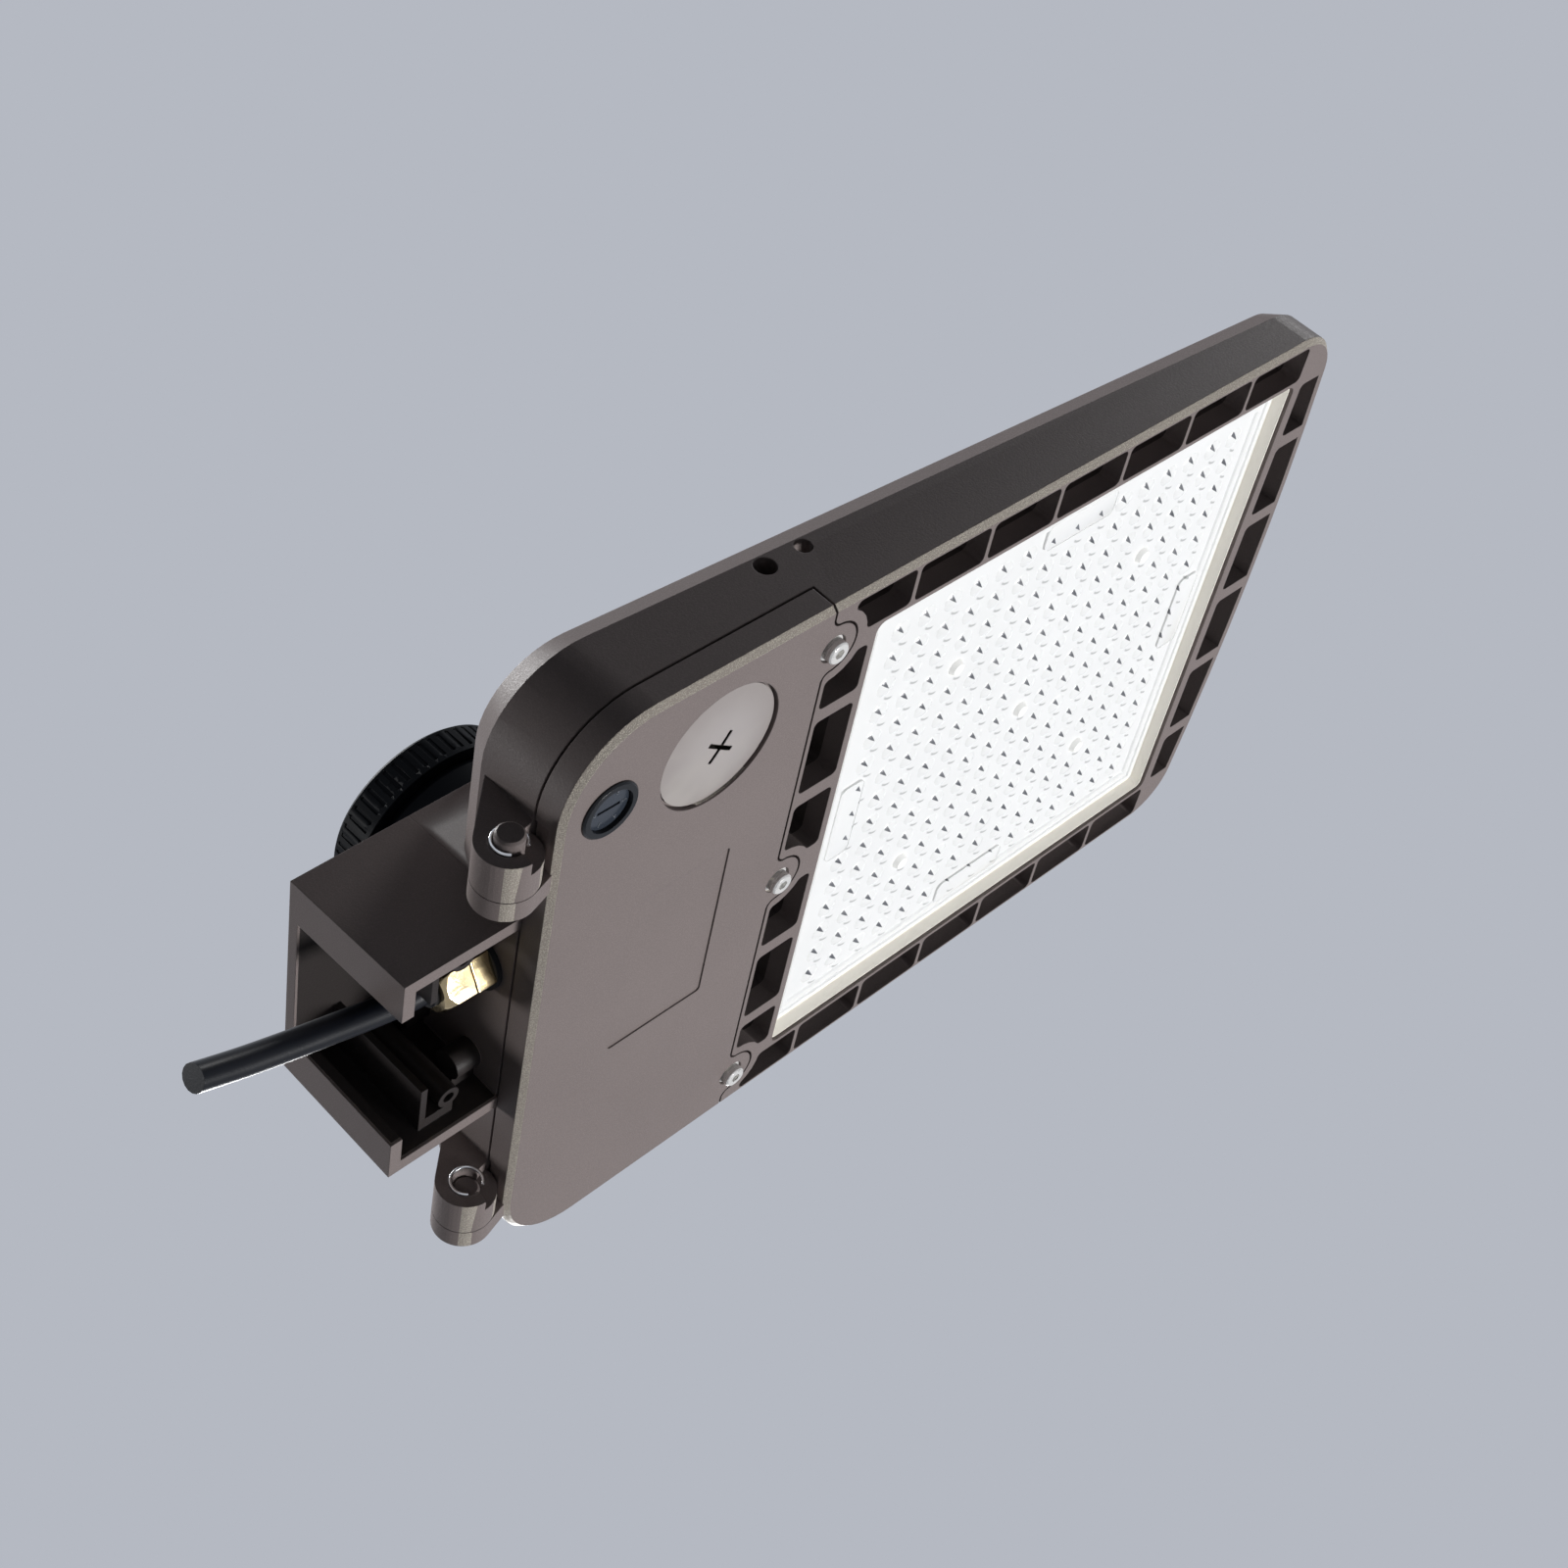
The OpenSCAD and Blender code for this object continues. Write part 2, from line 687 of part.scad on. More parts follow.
gasket_in = lip_in - (lip_t - gasket_w) / 2 - gasket_w;

module door_gasket() {
    color("#202022") prism(rim_z + door_t, seal_z) difference() {
        intersection() {
            outline(gasket_in);
            translate([0, -body_w]) square([door_front - 0.4, 2 * body_w]);
        }
        intersection() {
            outline(gasket_in + gasket_w);
            translate([0, -body_w]) square([bulkhead_x + 0.3, 2 * body_w]);
        }
        for (y = screw_ys) translate([screw_x, y]) circle(r = 4.6);
    }
}

module hinge_pin(y) {
    color(bronze) translate([hinge_x, y, -hinge_drop]) rotate([-90, 0, 0]) {
        cylinder(r1 = pin_r - 0.8, r2 = pin_r, h = 0.8);
        translate([0, 0, 0.8]) cylinder(r = pin_r, h = pin_len - 1.6);
        translate([0, 0, pin_len - 0.8]) cylinder(r1 = pin_r, r2 = pin_r - 0.8, h = 0.8);
    }
}

pin_out = 3.9;                    // how far the left pin stands out of its ear
module hinge_pin_left() { hinge_pin(ear_ys[0] - pin_out); }
module hinge_pin_right() { hinge_pin(ear_ys[1] + pin_out); }

neck_r = 1.9;
washer_t = 0.6;
head_z = rim_z + counterbore - washer_t;

module captive_screw(y) {
    color("silver") translate([screw_x, y, head_z]) difference() {
        union() {
            translate([0, 0, -screw_head_h]) cylinder(r1 = screw_head_r - 0.5, r2 = screw_head_r, h = 0.6);
            translate([0, 0, 0.6 - screw_head_h]) cylinder(r = screw_head_r, h = screw_head_h - 0.6);
            cylinder(r = neck_r, h = screw_len - thread_len);
            translate([0, 0, screw_len - thread_len]) cylinder(r = screw_r, h = thread_len - 0.8);
            translate([0, 0, screw_len - 0.8]) cylinder(r1 = screw_r, r2 = screw_r - 0.8, h = 0.8);
        }
        translate([0, 0, -screw_head_h - 1]) cylinder(r = 2, h = 3.4, $fn = 6);
    }
}

module captive_screw_left() { captive_screw(screw_ys[0]); }
module captive_screw_middle() { captive_screw(screw_ys[1]); }
module captive_screw_right() { captive_screw(screw_ys[2]); }

module screw_washers() {
    color("silver") for (y = screw_ys) translate([screw_x, y, head_z]) difference() {
        cylinder(r = screw_head_r + 0.9, h = washer_t);
        translate([0, 0, -1]) cylinder(r = neck_r + running, h = washer_t + 2);
    }
}

seal_t = 0.8;
cap_z = rim_z + port_recess - seal_t;   // back face of the cap's flange
cap_dome = 1.2;
port_nut_t = 4;

module port_cap() {
    slot_w = 1.7;
    slot_l = 13;
    color("#9a9491") translate([port_at.x, port_at.y, cap_z]) difference() {
        union() {
            rotate_extrude() polygon(concat([[0, 0], [port_r, 0], [port_r, -0.5]],
                [for (k = [1:6]) [port_r * (1 - k / 6), -0.5 - cap_dome * sin(k * 15)]]));
            cylinder(r = port_neck_r, h = door_t + port_nut_t);
        }
        translate([0, 0, 1.5]) cylinder(r = port_neck_r - 2.5, h = 20);
        for (a = [35, 125]) rotate([0, 0, a])
            translate([-slot_l / 2, -slot_w / 2, -4]) cube([slot_l, slot_w, 4.6]);
    }
}

module port_seal() {
    color("#202022") translate([port_at.x, port_at.y, cap_z]) difference() {
        cylinder(r = port_r - 0.6, h = seal_t);
        translate([0, 0, -1]) cylinder(r = port_neck_r + 0.3, h = seal_t + 2);
    }
}

module port_nut() {
    color("#2a2b2d") translate([port_at.x, port_at.y, rim_z + door_t]) difference() {
        cylinder(r = port_neck_r + 5.5, h = port_nut_t);
        translate([0, 0, -1]) cylinder(r = port_neck_r + 0.05, h = port_nut_t + 2);
        for (a = [0:45:315]) rotate([0, 0, a])
            translate([port_neck_r + 4.2, -2, -1]) cube([4, 4, port_nut_t + 2]);
    }
}

pad_t = 1.1;                      // the door is thicker under the selector
bezel_body_r = dial_r + 1.2;
bezel_neck_r = 5.5;
bezel_t = 1.2;
bezel_depth = 3;
bezel_top = rim_z + door_t + 8;

module selector_bezel() {
    color("#111214") translate([selector_at.x, selector_at.y, 0]) difference() {
        union() {
            translate([0, 0, rim_z - bezel_t]) cylinder(r1 = selector_r - 0.6, r2 = selector_r, h = 0.6);
            translate([0, 0, rim_z - bezel_t + 0.6]) cylinder(r = selector_r, h = bezel_t - 0.6);
            prism(rim_z - eps, rim_z + bezel_depth) circle(r = bezel_body_r);
            prism(rim_z, bezel_top) circle(r = bezel_neck_r);
        }
        prism(rim_z - 5, rim_z + bezel_depth - 0.8) circle(r = dial_r + running);
        prism(rim_z - 5, bezel_top + 1) circle(r = dial_hub_r + running);
    }
}

module selector_nut() {
    color("#2a2b2d") translate([selector_at.x, selector_at.y, rim_z + door_t + pad_t]) difference() {
        cylinder(r = bezel_neck_r + 4, h = 3, $fn = 6);
        translate([0, 0, -1]) cylinder(r = bezel_neck_r + 0.05, h = 5);
    }
}

dial_hub_r = 3;
dial_z = rim_z + 0.4;
dial_slot = [9, 1.2];

module selector_dial() {
    color("#56626e") translate([selector_at.x, selector_at.y, dial_z]) difference() {
        union() {
            cylinder(r = dial_r, h = 1.6);
            cylinder(r = dial_hub_r, h = bezel_top - dial_z);
        }
        translate([-dial_slot.x / 2, -dial_slot.y / 2, -1]) cube([dial_slot.x, dial_slot.y, 1.6]);
    }
}

module selector_switch() {
    color("#2b4a35") translate([selector_at.x - 8, selector_at.y - 8, bezel_top + eps]) cube([16, 16, 7]);
}

// ---- optics ----

lens_mid_x = window_mid + 0.3;
half_rows = (lens_rows - 1) / 2;
screw_row = 4;                    // lens rows from the middle to the lens screws
lens_screw_places = concat([[lens_mid_x, 0]],
    [for (i = [-1, 1], j = [-1, 1]) [lens_mid_x + i * screw_row * lens_pitch, j * screw_row * lens_pitch]]);

// A place holds no lens at a screw and in the middle of each outer row
function is_screw(i, j) = (i == 0 && j == 0) || (abs(i) == screw_row && abs(j) == screw_row);
function is_wireway(i, j) = (abs(i) == half_rows && abs(j) <= 1) || (abs(j) == half_rows && abs(i) <= 1);
lens_places = [for (i = [-half_rows:half_rows], j = [-half_rows:half_rows])
    if (!is_screw(i, j) && !is_wireway(i, j)) [lens_mid_x + i * lens_pitch, j * lens_pitch]];
wireway_places = [for (a = [0:90:270]) [lens_mid_x + (half_rows + 0.5) * lens_pitch * cos(a),
                                        (half_rows + 0.5) * lens_pitch * sin(a), a]];

module lens_plate() {
    edge = 0.6;
    color("white", 0.6) difference() {
        union() {
            prism(lens_face_z, lens_back_z)
                rounded_rect(window_x0 + edge, window_x1 - edge, -window_w / 2 + edge,
                             window_w / 2 - edge, window_corner_r);
            for (p = lens_places) translate([p.x, p.y, lens_face_z - lens_h]) {
                cylinder(r1 = lens_r * 0.55, r2 = lens_r * 0.85, h = lens_h / 2);
                translate([0, 0, lens_h / 2]) cylinder(r1 = lens_r * 0.85, r2 = lens_r, h = lens_h / 2 + eps);
            }
            for (p = lens_screw_places) translate([p.x, p.y, lens_face_z]) cylinder(r = 4, h = board_z - lens_face_z);
            for (p = wireway_places) translate([p.x, p.y, lens_face_z - 2]) rotate([0, 0, p.z])
                translate([-8, -19, 0]) cube([12, 38, 2 + eps]);
        }
        for (p = lens_screw_places) translate([p.x, p.y, lens_face_z - 5]) cylinder(r = 1.8, h = 20);
        for (p = wireway_places) translate([p.x, p.y, lens_face_z - 0.4]) rotate([0, 0, p.z])
            translate([-6.5, -17.5, 0]) cube([9, 35, 5]);
    }
}

module lens_gasket() {
    ring = 5;
    edge = 0.6;
    color("#e6e4df") prism(lens_back_z, seat_z) difference() {
        rounded_rect(window_x0 + edge, window_x1 - edge, -window_w / 2 + edge,
                     window_w / 2 - edge, window_corner_r);
        rounded_rect(window_x0 + ring, window_x1 - ring, -window_w / 2 + ring,
                     window_w / 2 - ring, window_corner_r);
        translate([window_x0 - 1, lead_y - 3]) square([ring + 2, 6]);
    }
}

lens_screw_r = 1.45;
lens_screw_head = [2.6, 3.4, 2];  // end radius, seat radius and height

module lens_screws() {
    color("silver") for (p = lens_screw_places) translate([p.x, p.y, 0]) {
        translate([0, 0, lens_face_z - lens_screw_head.z])
            cylinder(r1 = lens_screw_head.x, r2 = lens_screw_head.y, h = lens_screw_head.z);
        prism(lens_face_z - eps, seat_z + spreader_t - 2) circle(r = lens_screw_r);
    }
}

led_plug_w = 14;

module led_board() {
    edge = 6;
    color("#f2f2ee") difference() {
        union() {
            prism(board_z, seat_z)
                rounded_rect(window_x0 + edge, window_x1 - edge, -window_w / 2 + edge, window_w / 2 - edge, 2);
            for (p = lens_places) translate([p.x - 1.5, p.y - 1.5, board_z - 0.7]) cube([3, 3, 0.7 + eps]);
            translate([window_x0 + edge + 2, -led_plug_w / 2, board_z - 1.8])
                cube([6, led_plug_w, 1.8 + eps]);
        }
        for (p = lens_screw_places) translate([p.x, p.y, board_z - 1]) cylinder(r = 1.8, h = board_t + 2);
    }
}

// ---- inside the compartment ----

module led_driver() {
    color("#c9c9c6") difference() {
        union() {
            translate([driver_x, driver_y, driver_top - driver_h]) cube([driver_w, driver_len, driver_h]);
            translate([driver_screw_x - 10, driver_y - tab_len, driver_top - 1.5])
                cube([20, driver_len + 2 * tab_len, 1.5]);
        }
        for (y = driver_screw_ys) translate([driver_screw_x, y, driver_top - 3]) cylinder(r = component_screw_r + 0.3, h = 4);
    }
}

module surge_protector() {
    color("#c8452f") difference() {
        translate(surge_pos) cube(surge_size);
        translate(surge_pos + [surge_size.x / 2, surge_size.y / 2, -1]) {
            cylinder(r = component_screw_r + 0.2, h = surge_size.z + 2);
            cylinder(r = small_head_r + 0.4, h = surge_size.z - 2);
        }
    }
}

module terminal_block() {
    color("#1c1d20") difference() {
        translate(block_pos) cube(block_size);
        translate(block_pos + [block_size.x / 2, block_size.y / 2, -1]) {
            cylinder(r = component_screw_r + 0.2, h = block_size.z + 2);
            cylinder(r = small_head_r + 0.4, h = 8);
        }
        for (y = [5, 31]) translate(block_pos + [block_size.x / 2, y, -1]) cylinder(r = 2.4, h = 6);
        for (y = [5, 18, 31], x = [-1, block_size.x - 5])
            translate(block_pos + [x, y - 2.5, 5]) cube([6, 5, 5]);
    }
}

small_head_r = 2.8;
small_head_h = 2;

module component_screw(x, y, z, len) {
    translate([x, y, z]) {
        translate([0, 0, -small_head_h]) cylinder(r1 = small_head_r - 0.6, r2 = small_head_r, h = small_head_h);
        cylinder(r = component_screw_r, h = len);
    }
}

module component_screws() {
    color("silver") {
        for (y = driver_screw_ys) component_screw(driver_screw_x, y, driver_top - 1.5, 5);
        component_screw(surge_pos.x + surge_size.x / 2, surge_pos.y + surge_size.y / 2,
                        surge_pos.z + surge_size.z - 3, 9);
        component_screw(block_pos.x + block_size.x / 2, block_pos.y + block_size.y / 2, block_pos.z + 7, 15);
    }
}

// ---- wires, swept as plain tubes ----

function unit(v) = v / norm(v);
function tangent(path, i) =
    unit(path[min(i + 1, len(path) - 1)] - path[max(i - 1, 0)]);

function ring(path, i, r, sides) =
    let (t = tangent(path, i))
    let (u = unit(cross(t, abs(t.z) < 0.9 ? [0, 0, 1] : [0, 1, 0])))
    let (v = cross(u, t))
    [for (k = [0:sides - 1]) path[i] + r * (cos(360 * k / sides) * u + sin(360 * k / sides) * v)];

module tube(path, r, sides = 8) {
    n = len(path);
    points = [for (i = [0:n - 1]) each ring(path, i, r, sides)];
    walls = [for (i = [0:n - 2], k = [0:sides - 1]) let (m = (k + 1) % sides)
        [i * sides + k, i * sides + m, (i + 1) * sides + m, (i + 1) * sides + k]];
    start = [[for (k = [sides - 1:-1:0]) k]];
    finish = [[for (k = [0:sides - 1]) (n - 1) * sides + k]];
    polyhedron(points, concat(walls, start, finish));
}

lead_y = 40.3;
lead_z = board_z - 1.5;
lead_bore_r = 2;
lead_r = 0.7;
lead_apart = 0.75;                // each lead's distance from the pair's middle
plug_z = board_z - 1.2;
driver_x1 = driver_x + driver_w;
led_lead_path = [[driver_x1, 40, -14], [driver_x1 + 1.2, 40, -14], [driver_x1 + 3, 40, -15.5],
    [driver_x1 + 4.3, 40, -19], [driver_x1 + 5.2, 40.2, -24], [bulkhead_x - 4.6, lead_y, -27.3],
    [bulkhead_x - 2.4, lead_y, lead_z], [window_x0, lead_y, lead_z], [window_x0 + 6.5, 39.8, lead_z],
    [window_x0 + 9.3, 37.5, plug_z], [window_x0 + 10.2, 33, plug_z], [window_x0 + 10.8, 20, plug_z],
    [window_x0 + 11, 9, plug_z], [window_x0 + 11, led_plug_w / 2, plug_z]];
supply_lead_path = [[rear_x + 12, -gland_y, -gland_drop], [rear_x + 13.5, -gland_y, -gland_drop],
    [rear_x + 16, -15.4, -11], [rear_x + 17.8, -18, -11.5], [rear_x + 18.9, -22, -12],
    [rear_x + 20.2, -27, -12.5], [rear_x + 22, -34.5, -12.5], [rear_x + 22, -36, -12.5]];

module lead_grommet() {
    color("#202022") translate([bulkhead_x - 2, lead_y, lead_z]) rotate([0, 90, 0]) difference() {
        union() {
            cylinder(r = 4.5, h = 2);
            cylinder(r = 3.45, h = 3.9);
        }
        translate([0, 0, -1]) cylinder(r = lead_bore_r, h = 10);
    }
}

module led_leads() {
    for (s = [-1, 1]) color(s < 0 ? "red" : "black")
        tube([for (p = led_lead_path) p + s * lead_apart * [p.x > bulkhead_x ? 1 : 0, p.y > 20 ? 1 : 0, 0]],
             lead_r);
}

module supply_leads() {
    for (s = [-1, 0, 1]) color(s == 0 ? "white" : s < 0 ? "green" : "black")
        tube([for (p = supply_lead_path) p + [0, 0, s * 2.4]], 1.1);
}

// ---- cable gland and cable ----

gland_seal_t = 2;
gland_hex_t = 7.3;
gland_nut_l = 11;
gland_nose_l = 2;
gland_hex_x = rear_x - gland_seal_t - gland_hex_t;
gland_nut_x = gland_hex_x - 0.4 - gland_nut_l;
gland_nose_x = gland_nut_x - gland_nose_l;

module on_gland(x) {
    translate([x, -gland_y, -gland_drop]) rotate([0, 90, 0]) children();
}

module gland_seal() {
    color("#151517") on_gland(rear_x - gland_seal_t) difference() {
        cylinder(r = gland_hex_r, h = gland_seal_t);
        translate([0, 0, -1]) cylinder(r = gland_thread_r + 0.1, h = gland_seal_t + 2);
    }
}

module gland_body() {
    color("gold") difference() {
        union() {
            on_gland(gland_hex_x) cylinder(r = gland_hex_r, h = gland_hex_t, $fn = 6);
            on_gland(gland_hex_x - 7.5) cylinder(r = gland_thread_r + 0.6, h = 8);
            on_gland(rear_x - gland_seal_t - eps) cylinder(r = gland_thread_r, h = gland_seal_t + wall_t + 8);
        }
        on_gland(gland_hex_x - 10) cylinder(r = cable_r + 0.5, h = 60);
        on_gland(gland_hex_x - 8) cylinder(r1 = gland_thread_r - 0.4, r2 = cable_r + 0.5, h = 4);
    }
}

module gland_insert() {
    color("#202022") on_gland(gland_nose_x) difference() {
        union() {
            cylinder(r = cable_r + 1.6, h = gland_nose_l + 2.6);
            translate([0, 0, gland_nose_l + 1.6]) cylinder(r = gland_thread_r, h = 1.6);
        }
        translate([0, 0, -1]) cylinder(r = cable_r, h = 12);
    }
}

module gland_nut() {
    color("gold") difference() {
        intersection() {
            on_gland(gland_nut_x) cylinder(r = gland_hex_r - 0.3, h = gland_nut_l, $fn = 6);
            on_gland(gland_nut_x) cylinder(r1 = gland_hex_r - 2.6, r2 = gland_hex_r + 4, h = gland_nut_l);
        }
        on_gland(gland_nut_x - 1) cylinder(r = cable_r + 1.7, h = 20);
        on_gland(gland_nut_x + 1.5) cylinder(r = gland_thread_r + 0.65, h = 20);
    }
}

module gland_locknut() {
    color("gold") on_gland(rear_x + wall_t) difference() {
        cylinder(r = gland_hex_r, h = 4, $fn = 6);
        translate([0, 0, -1]) cylinder(r = gland_thread_r + 0.05, h = 6);
    }
}

// Route of the cable from inside the compartment, through the gland, to its cut end
cable_path = [[57, -14.3, -10.7], [22, -14.3, -10.7], [16, -14.6, -10.7], [8, -16.6, -10.7], [0, -18.7, -10.7],
    [-8, -21.2, -10.7], [-17, -23.9, -10.7], [-26, -26.6, -10.7], [-35, -29.5, -10.7],
    [-44, -32.6, -10.8], [-53, -36.1, -10.9], [-62, -39.8, -11]];

module supply_cable() {
    color("#0c0d10") tube(cable_path, cable_r, 12);
}

// ---- twist-lock receptacle and shorting cap ----

socket_gasket_t = 2;
socket_z0 = crown_h + socket_gasket_t;
socket_z1 = socket_z0 + socket_h;
socket_edge = 3;
socket_body_l = 24;
blade_l = 9;
blade_r = 12;
blade_t = 1.6;
blade_angles = [90, 210, 330];
blade_arc = 36;
twist = 20;

// A curved slot or blade in plan
module arc_bar(r, t, a0, a1) {
    polygon(concat(arc(0, 0, r + t / 2, a0, a1, 6), arc(0, 0, r - t / 2, a1, a0, 6)));
}

module on_socket(z) {
    translate([socket_at, 0, z]) children();
}

module socket_gasket() {
    color("#202022") on_socket(crown_h) difference() {
        cylinder(r = socket_r + 0.8, h = socket_gasket_t);
        translate([0, 0, -1]) cylinder(r = socket_body_r + 0.5, h = 5);
    }
}

module twist_lock_socket() {
    color("#17181a") on_socket(0) difference() {
        union() {
            translate([0, 0, socket_z0]) cylinder(r = socket_r, h = socket_h - socket_edge);
            translate([0, 0, socket_z1 - socket_edge])
                cylinder(r1 = socket_r, r2 = socket_r - 2, h = socket_edge);
            translate([0, 0, socket_z0 - socket_body_l]) cylinder(r = socket_body_r, h = socket_body_l + eps);
        }
        for (a = blade_angles) translate([0, 0, socket_z1 - blade_l - 3]) linear_extrude(20)
            arc_bar(blade_r, blade_t + 1, a - blade_arc / 2 - 2, a + blade_arc / 2 + twist + 3);
    }
}

module socket_contacts() {
    color("gold") on_socket(socket_z0 - 32) for (a = blade_angles)
        linear_extrude(8) arc_bar(blade_r, 1.2, a - 12, a + 12);
}

module socket_nut() {
    color("#2a2b2d") on_socket(crown_h - roof_t - 4) difference() {
        cylinder(r = socket_nut_r, h = 4, $fn = 6);
        translate([0, 0, -1]) cylinder(r = socket_body_r + 0.05, h = 6);
    }
}

module shorting_cap() {
    ribs = 60;
    color("#17181a") on_socket(socket_z1 + hair) {
        difference() {
            union() {
                cylinder(r1 = shorting_r, r2 = shorting_r - 0.4, h = shorting_h - 1.5);
                translate([0, 0, shorting_h - 1.5])
                    cylinder(r1 = shorting_r - 0.4, r2 = shorting_r - 2, h = 1.5);
            }
            for (k = [0:ribs - 1]) rotate([0, 0, k * 360 / ribs])
                translate([shorting_r - 0.6, -0.7, 1.8]) cube([3, 1.4, shorting_h - 4.6]);
        }
        for (a = blade_angles) translate([0, 0, -blade_l]) linear_extrude(blade_l + eps)
            arc_bar(blade_r, blade_t, a - blade_arc / 2, a + blade_arc / 2);
    }
}

housing();
mounting_arm();
arm_bolts();
access_door();
door_gasket();
hinge_pin_left();
hinge_pin_right();
captive_screw_left();
captive_screw_middle();
captive_screw_right();
screw_washers();
port_cap();
port_seal();
port_nut();
selector_bezel();
selector_nut();
selector_dial();
selector_switch();
lens_plate();
lens_gasket();
lens_screws();
led_board();
led_driver();
surge_protector();
terminal_block();
component_screws();
lead_grommet();
led_leads();
supply_leads();
gland_seal();
gland_body();
gland_insert();
gland_nut();
gland_locknut();
supply_cable();
socket_gasket();
twist_lock_socket();
socket_contacts();
socket_nut();
shorting_cap();
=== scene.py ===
"""Dresses the shoebox area light: coatings, lenses, fasteners, cable and a plain studio."""

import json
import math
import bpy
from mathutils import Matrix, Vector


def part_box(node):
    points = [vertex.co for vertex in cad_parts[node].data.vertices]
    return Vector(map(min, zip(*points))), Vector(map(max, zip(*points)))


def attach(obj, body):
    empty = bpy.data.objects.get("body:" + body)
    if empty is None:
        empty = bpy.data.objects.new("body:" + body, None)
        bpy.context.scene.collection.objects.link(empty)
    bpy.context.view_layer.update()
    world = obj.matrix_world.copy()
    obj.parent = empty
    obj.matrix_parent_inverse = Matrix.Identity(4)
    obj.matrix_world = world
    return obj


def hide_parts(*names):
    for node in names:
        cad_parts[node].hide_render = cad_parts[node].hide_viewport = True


bl_info = {
    "name": "Shoebox Area Light",
    "version": (1, 0, 0),
    "blender": (4, 5, 0),
    "location": "3D View > Sidebar > Area Light",
    "description": "Adds the pieces, finishes and studio of a shoebox area light",
    "category": "Add Mesh",
}

import bmesh
import bpy
from bpy.props import FloatProperty, FloatVectorProperty, IntProperty, PointerProperty
from mathutils import Matrix, Vector

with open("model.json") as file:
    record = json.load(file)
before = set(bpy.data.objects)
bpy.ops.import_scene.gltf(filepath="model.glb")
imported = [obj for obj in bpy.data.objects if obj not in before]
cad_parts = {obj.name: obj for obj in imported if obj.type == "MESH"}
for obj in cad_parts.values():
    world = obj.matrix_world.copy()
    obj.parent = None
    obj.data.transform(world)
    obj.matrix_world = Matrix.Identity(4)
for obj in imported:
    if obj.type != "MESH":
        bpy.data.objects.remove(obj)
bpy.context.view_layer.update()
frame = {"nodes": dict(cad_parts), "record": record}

MM = 0.001
RECORD = frame["record"]
BODY_OF = {node: body for body, nodes in RECORD["behaviour"]["bodies"].items() for node in nodes}

RIM_Z = -38 * MM        # lens-side rim of the body
DOME_ROOM = 2.4 * MM    # from the lowest point of the solid lens plate up to its face


# ---- settings ----


class CoatingSettings(bpy.types.PropertyGroup):
    """Powder coat of the castings"""

    colour: FloatVectorProperty(
        name="Colour", description="Colour of the powder coat", subtype="COLOR", size=3,
        min=0, max=1, default=(0.185, 0.155, 0.149))
    sparkle: FloatProperty(
        name="Sparkle", description="How much lighter the metallic flakes are", default=0.35,
        min=0, max=1)
    grain: FloatProperty(
        name="Grain", description="Height of the fine texture", subtype="DISTANCE", unit="LENGTH",
        default=0.06 * MM)
    # Painted shade deep in the vents and in the arm's hollow: the tone there, as a share of the coat's
    # colour
    thin: FloatProperty(
        name="Inner shade", description="Tone of the thin coat deep in the vents and in the arm",
        default=0.35, min=0, max=1)
    edge: FloatProperty(
        name="Edge radius", description="Radius of the cast edges", subtype="DISTANCE", unit="LENGTH",
        default=0.55 * MM)


class LensSettings(bpy.types.PropertyGroup):
    """Lens plate and its domes"""

    pitch: FloatProperty(
        name="Pitch", description="Distance between neighbouring lenses", subtype="DISTANCE",
        unit="LENGTH", default=13 * MM)
    rows: IntProperty(name="Rows", description="Number of lens rows each way", default=15, min=3)
    dome_radius: FloatProperty(
        name="Dome radius", description="Radius of a dome's foot", subtype="DISTANCE", unit="LENGTH",
        default=4.7 * MM)
    dome_height: FloatProperty(
        name="Dome height", description="Height of a dome", subtype="DISTANCE", unit="LENGTH",
        default=1.25 * MM)
    shift: FloatProperty(
        name="Shift",
        description="Distance of the middle lens from the plate's middle, towards the nose",
        subtype="DISTANCE", unit="LENGTH", default=0.3 * MM)
    colour: FloatVectorProperty(
        name="Colour", description="Colour of the clear plate over its white board", subtype="COLOR",
        size=3, min=0, max=1, default=(0.76, 0.765, 0.765))
    # Painted light: the plate gives off light of its own, which lightens it evenly
    painted_glow: FloatProperty(
        name="Glow", description="How much light the clear plate passes on by itself", default=0.12,
        min=0)


class CableSettings(bpy.types.PropertyGroup):
    """Supply cable"""

    diameter: FloatProperty(
        name="Diameter", description="Outer diameter of the jacket", subtype="DISTANCE", unit="LENGTH",
        default=9.4 * MM)
    colour: FloatVectorProperty(
        name="Colour", description="Colour of the jacket", subtype="COLOR", size=3, min=0, max=1,
        default=(0.003, 0.004, 0.007))


class StudioSettings(bpy.types.PropertyGroup):
    """Floor, backdrop and lamps"""

    backdrop: FloatVectorProperty(
        name="Backdrop", description="Colour behind the object", subtype="COLOR", size=3, min=0, max=1,
        default=(0.462, 0.485, 0.54))
    floor: FloatVectorProperty(
        name="Floor", description="Colour of the floor", subtype="COLOR", size=3, min=0, max=1,
        default=(0.4, 0.41, 0.43))
    ambient: FloatProperty(name="Ambient", description="Level of the even light", default=0.015, min=0)
    floor_z: FloatProperty(
        name="Floor height", description="Height of the floor under the light", subtype="DISTANCE",
        unit="LENGTH", default=-2.7)
    key: FloatProperty(
        name="Key lamp", description="Power of the lamp below the lens side", unit="POWER",
        default=65.0, min=0)
    side: FloatProperty(
        name="Side lamp", description="Power of the lamp behind the pole side", unit="POWER",
        default=14.0, min=0)
    nose: FloatProperty(
        name="Nose lamp", description="Power of the lamp beyond the nose", unit="POWER",
        default=26.0, min=0)
    roof: FloatProperty(
        name="Roof lamp", description="Power of the lamp over the roof", unit="POWER",
        default=62.0, min=0)
    far: FloatProperty(
        name="Far lamp", description="Power of the lamp on the far side", unit="POWER",
        default=45.0, min=0)


# ---- shader expressions ----


